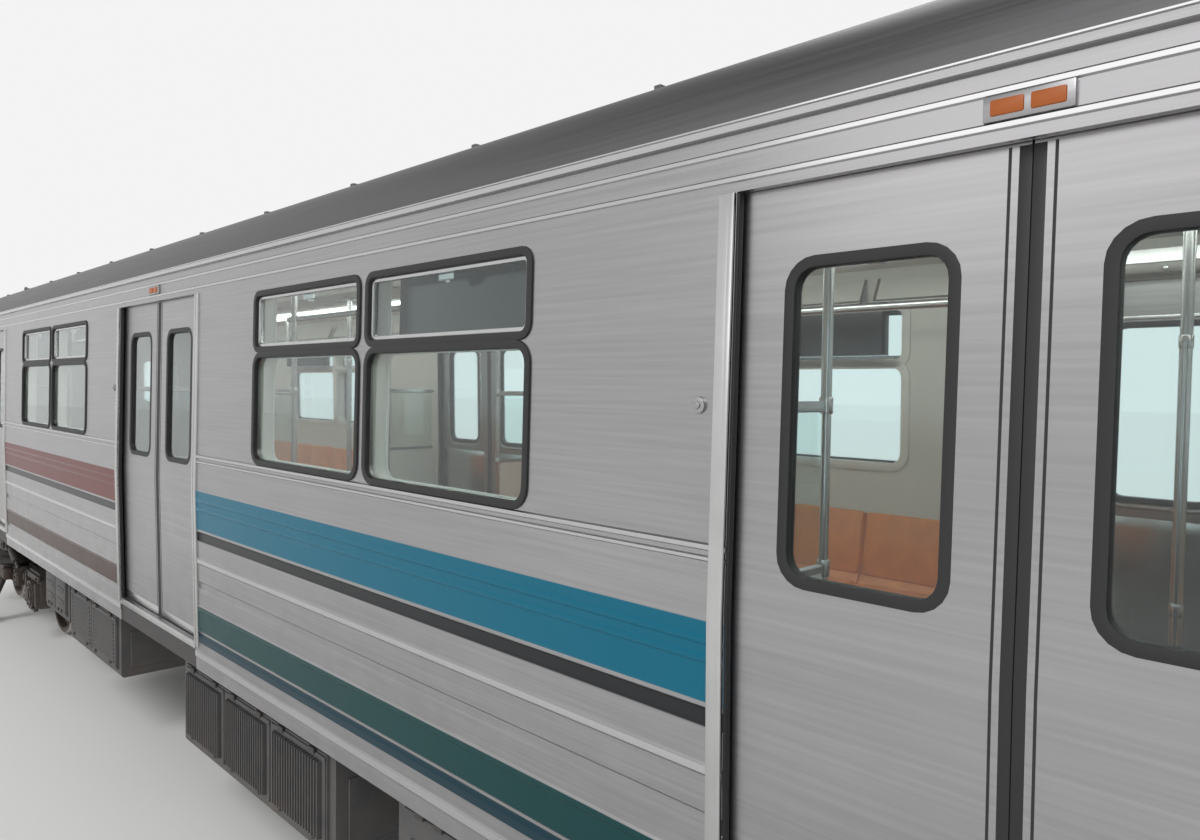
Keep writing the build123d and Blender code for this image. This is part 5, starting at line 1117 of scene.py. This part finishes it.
# ceiling: slatted air outlets, duct joints, round speaker plates
ceilingBits = []
for side in (-1, 1):
    y = side * 0.300
    outletSlat = block((-7.0, y - 0.030, 3.222), (-6.985, y + 0.030, 3.232), 0.001)
    ceilingBits.append(rowOf(outletSlat, 360, (0.036, 0, 0)))
    ceilingBits.append(block((-7.02, y - 0.036, 3.224), (6.10, y - 0.032, 3.233), 0.001))
    ceilingBits.append(block((-7.02, y + 0.032, 3.224), (6.10, y + 0.036, 3.233), 0.001))
ceilingBits.append(rowOf(block((-6.905, -0.205, 3.196), (-6.895, 0.205, 3.201), 0.001), 11, (1.2, 0, 0)))
for x in (-6.2, -3.6, -1.2, 1.2, 3.6):
    ceilingBits.append(rod((x, 0, 3.197), 0.085, 0.008, "Z", 28, 0.002))
    for radius in (0.030, 0.055):
        ceilingBits.append(hoop((x, 0, 3.192), radius, 0.003, "Z", 24, 6))
dress(ceilingBits, "ceilingGrilles", "grab_steel", finishes["end_steel"])

# flanges and sleeves of the poles and grab rails
saloonTrim = []
for x in doorCentres.values():
    saloonTrim.append(rod((x, 0, floorZ + 0.006), 0.045, 0.012, "Z", 24, 0.003))
    saloonTrim.append(rod((x, 0, 3.194), 0.045, 0.012, "Z", 24, 0.003))
    for z in (1.95, 2.75):
        saloonTrim.append(rod((x, 0, z), 0.0195, 0.040, "Z", 18, 0.002))
for low, high in ((-4.470, -0.560), (0.560, 4.470), (-7.020, -5.590)):
    for y in (-0.700, 0.700):
        for x in (low + 0.060, (low + high) / 2, high - 0.060):
            saloonTrim.append(rod((x, y, 2.980), 0.0215, 0.050, "X", 18, 0.003))
            saloonTrim.append(rod((x, y, 3.224), 0.034, 0.012, "Z", 20, 0.003))
dress(saloonTrim, "railFittings", "grab_steel")
print("stage: saloon")

# cab: desk instruments, controller, driver's cushions, breaker panels, cab door fittings and pane
cab = {"seatX": 6.632, "seatY": -0.800, "panelX": 6.182, "paneZ": 2.620, "paneHalf": 0.240, "leverY": -0.245,
       "leverZ": 2.150}
cabBits, cabDark = [], []
slope = Matrix.Translation((7.142, -0.800, 2.078)) @ Matrix.Rotation(-math.atan(170 / 240), 4, "Y")
cabBits.append(moved(block((-0.120, -0.300, -0.008), (0.110, 0.300, 0.012), 0.006, 2), slope))
cabScreen = moved(block((-0.085, 0.020, 0.010), (0.085, 0.240, 0.017), 0.003), slope)
for y in (-0.235, -0.135, -0.040):
    cabDark.append(moved(rod((0.040, y, 0.016), 0.040, 0.014, "Z", 28, 0.004), slope))
    cabBits.append(moved(hoop((0.040, y, 0.022), 0.040, 0.004, "Z", 28, 8), slope))
for index in range(8):
    cabDark.append(moved(rod((-0.075, -0.260 + index * 0.034, 0.015), 0.010, 0.012, "Z", 14, 0.002), slope))
for low, high in ((-1.060, -0.940), (-0.640, -0.540)):  # plates of the desk's two levers
    cabBits.append(block((6.965, low, 1.940), (7.035, high, 1.962), 0.006, 2))
cabDark.append(rodBetween((7.000, -1.000, 1.950), (6.960, -1.000, 2.090), 0.011, 12, 0.003))
cabDark.append(rod((6.957, -1.000, 2.100), 0.026, 0.045, "Y", 18, 0.008))
cabDark.append(rodBetween((7.000, -0.590, 1.950), (6.955, -0.590, 2.060), 0.009, 12, 0.003))
cabDark.append(rod((6.952, -0.590, 2.066), 0.020, 0.060, "Y", 16, 0.006))
seatX, seatY = cab["seatX"], cab["seatY"]
cushions = [
    block((seatX - 0.205, seatY - 0.195, 1.680), (seatX + 0.190, seatY + 0.195, 1.722), 0.018, 3),
    block((seatX - 0.222, seatY - 0.180, 1.760), (seatX - 0.186, seatY + 0.180, 2.150), 0.016, 3),
]
for side in (-1, 1):
    y = seatY + side * 0.225
    cabDark.append(block((seatX - 0.190, y - 0.022, 1.880), (seatX + 0.060, y + 0.022, 1.908), 0.010, 3))
    cabBits.append(rodBetween((seatX - 0.200, y, 1.680), (seatX - 0.150, y, 1.885), 0.010, 10))
for z in (2.35, 2.62):  # breaker panels on the partition, cab side
    cabBits.append(block((cab["panelX"], 0.420, z - 0.11), (6.225, 0.900, z + 0.11), 0.008, 2))
cabBits.append(block((cab["panelX"], 0.420, 1.350), (6.250, 0.980, 2.180), 0.010, 2))
dress(cabBits, "cabPanels", "cab_grey")
dress(cabDark, "cabControls", "sign_black", blackRubber)
dress([cabScreen], "cabScreen", "sign_black")
cloth = newMaterial("cushionCloth", (0.035, 0.045, 0.065), 0.0, 0.85)[0]
dress(cushions, "driverCushions", "cab_grey", cloth)
cabDoorBits = [block((6.1505, -0.270, 1.200), (6.1545, 0.270, 1.420), 0.001)]
for paneX in (6.152, 6.182):
    paneFrame = ring(0.300, 0.480, 0.040, 0.0, 0.018, 0.004, -0.004, 0.002)
    cabDoorBits.append(moved(paneFrame, Matrix.Translation((paneX, 0, cab["paneZ"])) @ toEnd))
leverY, leverZ = cab["leverY"], cab["leverZ"]
for roseX, leverX in ((6.146, 6.136), (6.190, 6.200)):
    cabDoorBits.append(rod((roseX, leverY, leverZ), 0.022, 0.016, "X", 18, 0.003))
    leverTip = (leverX, leverY + 0.100, leverZ)
    cabDoorBits.append(rodBetween((leverX, leverY, leverZ), leverTip, 0.008, 12, 0.002))
dress(cabDoorBits, "cabDoorFittings", "grab_steel", body="cab_door")
paneLow, paneHigh = cab["paneZ"] - cab["paneHalf"], cab["paneZ"] + cab["paneHalf"]
cabDoorPane = [block((x, -0.150, paneLow), (x + 0.0012, 0.150, paneHigh), 0.0005) for x in (6.1518, 6.1810)]
dress(cabDoorPane, "cabDoorPane", "sign_black", body="cab_door")
print("stage: cab")

# underfloor: doors, lid rims, latches, hinges and cable glands of the cases; pipes; tank bands
cases = {  # middle X, length, side, inner and outer Y, height, kind
    "inverter": (-1.152, 1.898, 1, 0.380, 1.190, 0.540, "fins"),
    "battery": (1.750, 1.350, 1, 0.420, 1.190, 0.480, "louvres"),
    "brakePanel": (3.050, 0.801, 1, 0.420, 1.150, 0.420, "doors"),
    "supply": (-3.050, 0.900, 1, 0.380, 1.170, 0.500, "doors"),
    "resistor": (1.898, 2.002, -1, 0.520, 1.180, 0.400, "louvres"),
    "compressor": (-0.351, 1.201, -1, 0.420, 1.120, 0.460, "fins"),
    "controlBox": (-2.299, 1.498, -1, 0.420, 1.190, 0.520, "doors"),
}
caseTop, doorWide, caseBits, caseSteel = 0.960, 0.55, [], []
for x, length, side, inner, outer, tall, kind in cases.values():
    lidLow, lidHigh, lidY = caseTop - tall + 0.050, caseTop - 0.050, outer + 0.012
    lidX0, lidX1 = x - length / 2 + 0.060, x + length / 2 - 0.060
    doors = max(2, round((lidX1 - lidX0) / doorWide))
    width = (lidX1 - lidX0) / doors
    left, right, foot, head = lidX0 + 0.010, lidX0 + width - 0.010, lidLow + 0.012, lidHigh - 0.012
    backY, frontY = lidY - 0.004, lidY + 0.008
    if kind == "doors":
        panel = [block((left, backY, foot), (right, frontY, head), 0.004, 2)]
        for share in (0.33, 0.67):  # pressed stiffening swages
            middle = foot + share * (head - foot)
            panel.append(block((left + 0.050, lidY + 0.004, middle - 0.018),
                               (right - 0.050, lidY + 0.014, middle + 0.018), 0.008, 2))
    else:  # a rim round the louvres or fins of the solid lid
        panel = [block((left, backY, foot), (right, frontY, foot + 0.026), 0.004, 2),
                 block((left, backY, head - 0.026), (right, frontY, head), 0.004, 2),
                 block((left, backY, foot), (left + 0.032, lidY + 0.0075, head), 0.004, 2),
                 block((right - 0.032, backY, foot), (right, lidY + 0.0075, head), 0.004, 2)]
    bits = [rowOf(together(panel), doors, (width, 0, 0))]
    latchAt = ((lidX0 + 0.120, 1), (lidX0 + width - 0.120, -1))
    latch = [rod((at, lidY + 0.012, lidLow + 0.030), 0.014, 0.016, "Y", 14, 0.003) for at, _ in latchAt]
    latch += [block((at - way * 0.020, lidY + 0.004, lidHigh - 0.020),
                    (at + way * 0.040, lidY + 0.018, lidHigh + 0.006), 0.003) for at, way in latchAt]
    steel = [rowOf(together(latch), doors, (width, 0, 0))]
    for end in (-1, 1):  # cable glands with their cables, and a plate, on each end face
        endX = x + end * length / 2
        cableX, glandZ = endX + end * 0.050, caseTop - 0.100
        for y in (inner + 0.14, outer - 0.14):
            steel.append(rod((endX + end * 0.012, y, glandZ), 0.024, 0.030, "X", 14, 0.004))
            steel.append(rodBetween((endX + end * 0.020, y, glandZ), (cableX, y, caseTop - 0.060), 0.011, 10))
            steel.append(rodBetween((cableX, y, caseTop - 0.062), (cableX, y, 1.020), 0.011, 10))
        bits.append(block((endX, inner + 0.06, caseTop - tall + 0.06),
                          (endX + end * 0.008, outer - 0.06, caseTop - 0.16), 0.004))
    if side < 0:
        for piece in bits + steel:
            moved(piece, toRight).data.flip_normals()
    caseBits += bits
    caseSteel += steel
dress(caseBits, "caseLids", "equipment_grey")
dress(caseSteel, "caseLatches", "underframe_paint")
pipes = []
for y, z, radius in ((0.245, 0.978, 0.016), (0.290, 0.982, 0.011), (-0.250, 0.978, 0.016),
                     (-0.300, 0.982, 0.011)):
    pipes.append(rod((0, y, z), radius, 8.9, "X", 12, 0.002))
    pipeClip = block((-4.40, y - 0.026, z - 0.004), (-4.37, y + 0.026, z + 0.026), 0.003)
    pipes.append(rowOf(pipeClip, 12, (0.80, 0, 0)))
for x in (0.0, 2.600):
    for step in (-0.352, 0.352):
        pipes.append(hoop((x + step, 0, 0.820), 0.153, 0.008, "X", 40, 6))
    pipes.append(rod((x + 0.560, 0, 0.820), 0.026, 0.030, "X", 16, 0.004))
    pipes.append(rodBetween((x + 0.570, 0, 0.820), (x + 0.640, 0.060, 0.960), 0.010, 10))
    pipes.append(rod((x, 0, 0.662), 0.016, 0.030, "Z", 12, 0.003))
dress(pipes, "underfloorPipes", "underframe_paint")
print("stage: underfloor")

# trucks: axle covers' bolts, chevron rubbers, damper and brake fittings, motor and collector fittings
truck = {"chevronLean": -math.atan(22 / 210), "chevronZ": 0.473, "springY": 0.980, "brakeY": 0.762,
         "brakeZ": 0.470}
axleZ, brakeY, brakeZ = car["axleZ"], truck["brakeY"], truck["brakeZ"]
iron, rubberBits, brightBits = [], [], []
for end in (-1, 1):
    axleX = end * car["halfWheelbase"]
    iron.append(rod((axleX, 1.112, axleZ), 0.060, 0.014, "Y", 24, 0.004))
    for x, z in circlePoints(6, 0.090, 0.3):
        brightBits.append(bolt((axleX + x, 1.113, axleZ + z), 0.011, 0.012, "Y"))
    for hand in (-1, 1):
        lean = Matrix.Rotation(hand * truck["chevronLean"], 4, "Y")
        for layer in range(3):  # rubber between the chevron plates
            centre = (axleX + hand * (0.1455 + layer * 0.019), 1.060, truck["chevronZ"])
            sheet = block((-0.0046, -0.022, -0.098), (0.0046, 0.020, 0.098), 0.0015)
            rubberBits.append(moved(sheet, Matrix.Translation(centre) @ lean))
        tilted = Matrix.Translation((axleX + hand * 0.207, 1.064, truck["chevronZ"])) @ lean
        iron.append(moved(block((-0.014, -0.028, -0.118), (0.014, 0.026, 0.118), 0.005), tilted))
    iron.append(block((axleX - 0.250, 1.040, 0.612), (axleX + 0.250, 1.072, 0.668), 0.010, 2))
    iron.append(block((axleX - 0.120, 1.040, 0.300), (axleX + 0.120, 1.080, 0.330), 0.006, 2))
    brightBits += boltGrid((axleX - 0.20, axleX + 0.20), (1.078,), (0.640,), 0.016, 0.014, "Y")
    # dust sleeve, bright rod and pin nut of the slanting damper
    high, low = Vector((end * 0.235, 1.104, 0.835)), Vector((end * 0.640, 1.104, 0.640))
    way = (low - high).normalized()
    iron.append(rodBetween(high + way * 0.150, high + way * 0.294, 0.0375, 28, 0.004))
    brightBits.append(rodBetween(high + way * 0.280, low - way * 0.026, 0.0156, 18))
    brightBits.append(bolt((low.x, 1.142, low.z), 0.019, 0.012, "Y"))
    brightBits += boltGrid((high.x - 0.018, high.x + 0.018), (1.148,), (high.z,), 0.010, 0.010, "Y")
    # cap, bolts and hose of the tread brake's cylinder
    iron.append(rod((end * 0.320, brakeY, brakeZ), 0.050, 0.030, "X", 24, 0.006))
    for y, z in circlePoints(6, 0.066):
        brightBits.append(bolt((end * 0.326, brakeY + y, brakeZ + z), 0.009, 0.012, "X"))
    iron.append(rodBetween((end * 0.370, brakeY, 0.548), (end * 0.370, 0.900, 0.600), 0.011, 10))
# side frame's cast ribs and lifting lugs, brake pipe with clips
iron.append(block((-0.560, 1.040, 0.585), (0.560, 1.064, 0.604), 0.005, 2))
for x in (-0.720, 0.720):
    iron.append(block((x - 0.014, 1.040, 0.470), (x + 0.014, 1.068, 0.610), 0.005))
    iron.append(hoop((x * 1.80, truck["springY"], 0.712), 0.034, 0.011, "Y", 20))
iron.append(rod((0, 0.930, 0.622), 0.010, 1.560, "X", 10))
iron.append(rowOf(block((-0.700, 0.912, 0.598), (-0.680, 0.950, 0.636), 0.003), 5, (0.35, 0, 0)))
# bolster end plates, rings and bellows bead of the air springs
iron.append(block((-0.170, 1.148, 0.800), (0.170, 1.162, 0.880), 0.006, 2))
brightBits += boltGrid((-0.120, 0.120), (1.166,), (0.840,), 0.018, 0.014, "Y")
iron += [hoop((0, truck["springY"], z), 0.156, 0.010, "Z", 40) for z in (0.606, 0.774)]
rubberBits.append(hoop((0, truck["springY"], 0.690), 0.205, 0.012, "Z", 44))
# collector: hangers, fuse box, springs, shoe bolts, lead
fibre = [block((-0.300, 1.098, 0.488), (-0.130, 1.168, 0.588), 0.010, 2),
         block((-0.285, 1.165, 0.500), (-0.145, 1.176, 0.576), 0.006, 2)]
for x in (-0.480, 0.480):
    iron.append(block((x - 0.035, 1.042, 0.455), (x + 0.035, 1.112, 0.575), 0.008, 2))
    brightBits += boltGrid((x,), (1.116,), (0.490, 0.540), 0.012, 0.012, "Y")
for x in (-0.062, 0.062):
    brightBits.append(rodBetween((x, 1.112, 0.545), (x, 1.215, 0.230), 0.011, 12))
    brightBits.append(rod((x, 1.108, 0.545), 0.020, 0.030, "Y", 14, 0.003))
    brightBits.append(rod((x, 1.375, 0.146), 0.010, 0.010, "Z", 6))
rubberBits.append(rodBetween((-0.130, 1.150, 0.510), (-0.070, 1.190, 0.360), 0.010, 10))
rubberBits.append(rodBetween((-0.070, 1.190, 0.362), (-0.040, 1.270, 0.215), 0.010, 10))
# motors: terminal box lid with its glands, cooling fins, gear case rib, cover and plug
motorBits = [block((0.482, -0.243, 0.706), (0.638, -0.077, 0.7155), 0.003, 2),
             rowOf(hoop((0.590, -0.300, 0.478), 0.199, 0.004, "Y", 48, 6), 9, (0, 0.050, 0))]
motorBits += [rod((0.500 + step * 0.040, -0.262, 0.684), 0.014, 0.030, "Y", 12, 0.003) for step in range(4)]
motorBits += [block((0.700, 0.328, 0.440), (0.980, 0.336, 0.456), 0.003),
              rod((0.590, 0.335, 0.478), 0.075, 0.014, "Y", 24, 0.003),
              rod((0.860, 0.245, 0.700), 0.026, 0.040, "Z", 14, 0.004)]
# name, slot, finish and whole of each set of fittings
truckSets = [(name, slotName, look, together(paired([together(bits)]))) for name, slotName, look, bits in (
    ("truckFittings_", "truck_iron", "truck_iron", iron),
    ("truckRubbers_", "air_spring_rubber", "air_spring_rubber", rubberBits),
    ("truckBolts_", "motor_iron", "coupler_iron", brightBits),
    ("collectorBox_", "collector_fibre", "collector_fibre", fibre))]
motorPair = together(spread(together(motorBits), (halfTurn, Matrix.Identity(4))))
truckSets.append(("motorFittings_", "motor_iron", "motor_iron", motorPair))
for end, direction in (("front", 1), ("rear", -1)):
    place = Matrix.Translation((direction * car["truck"], 0, 0))
    for name, slotName, look, whole in truckSets:
        dress([another(whole, place)], name + end, slotName, finishes[look], "truck_" + end)
clearAway([whole for _, _, _, whole in truckSets])

# wheels: hub rims, tyre edge beads, balance plugs
axlePlaces = [end * car["truck"] + hand * car["halfWheelbase"] for end in (-1, 1) for hand in (-1, 1)]
for number, x in enumerate(axlePlaces, start=1):
    hubs = []
    for side in (-1, 1):
        hubs.append(hoop((x, side * 0.803, axleZ), 0.112, 0.012, "Y", 40))
        hubs.append(hoop((x, side * 0.811, axleZ), 0.385, 0.004, "Y", 64, 6))
        for along, up in circlePoints(3, 0.30):
            hubs.append(rod((x + along, side * 0.765, axleZ + up), 0.018, 0.012, "Y", 14, 0.003))
    dress(hubs, "wheelHubs_" + str(number), "wheel_steel", body="wheelset_" + str(number))
print("stage: trucks")
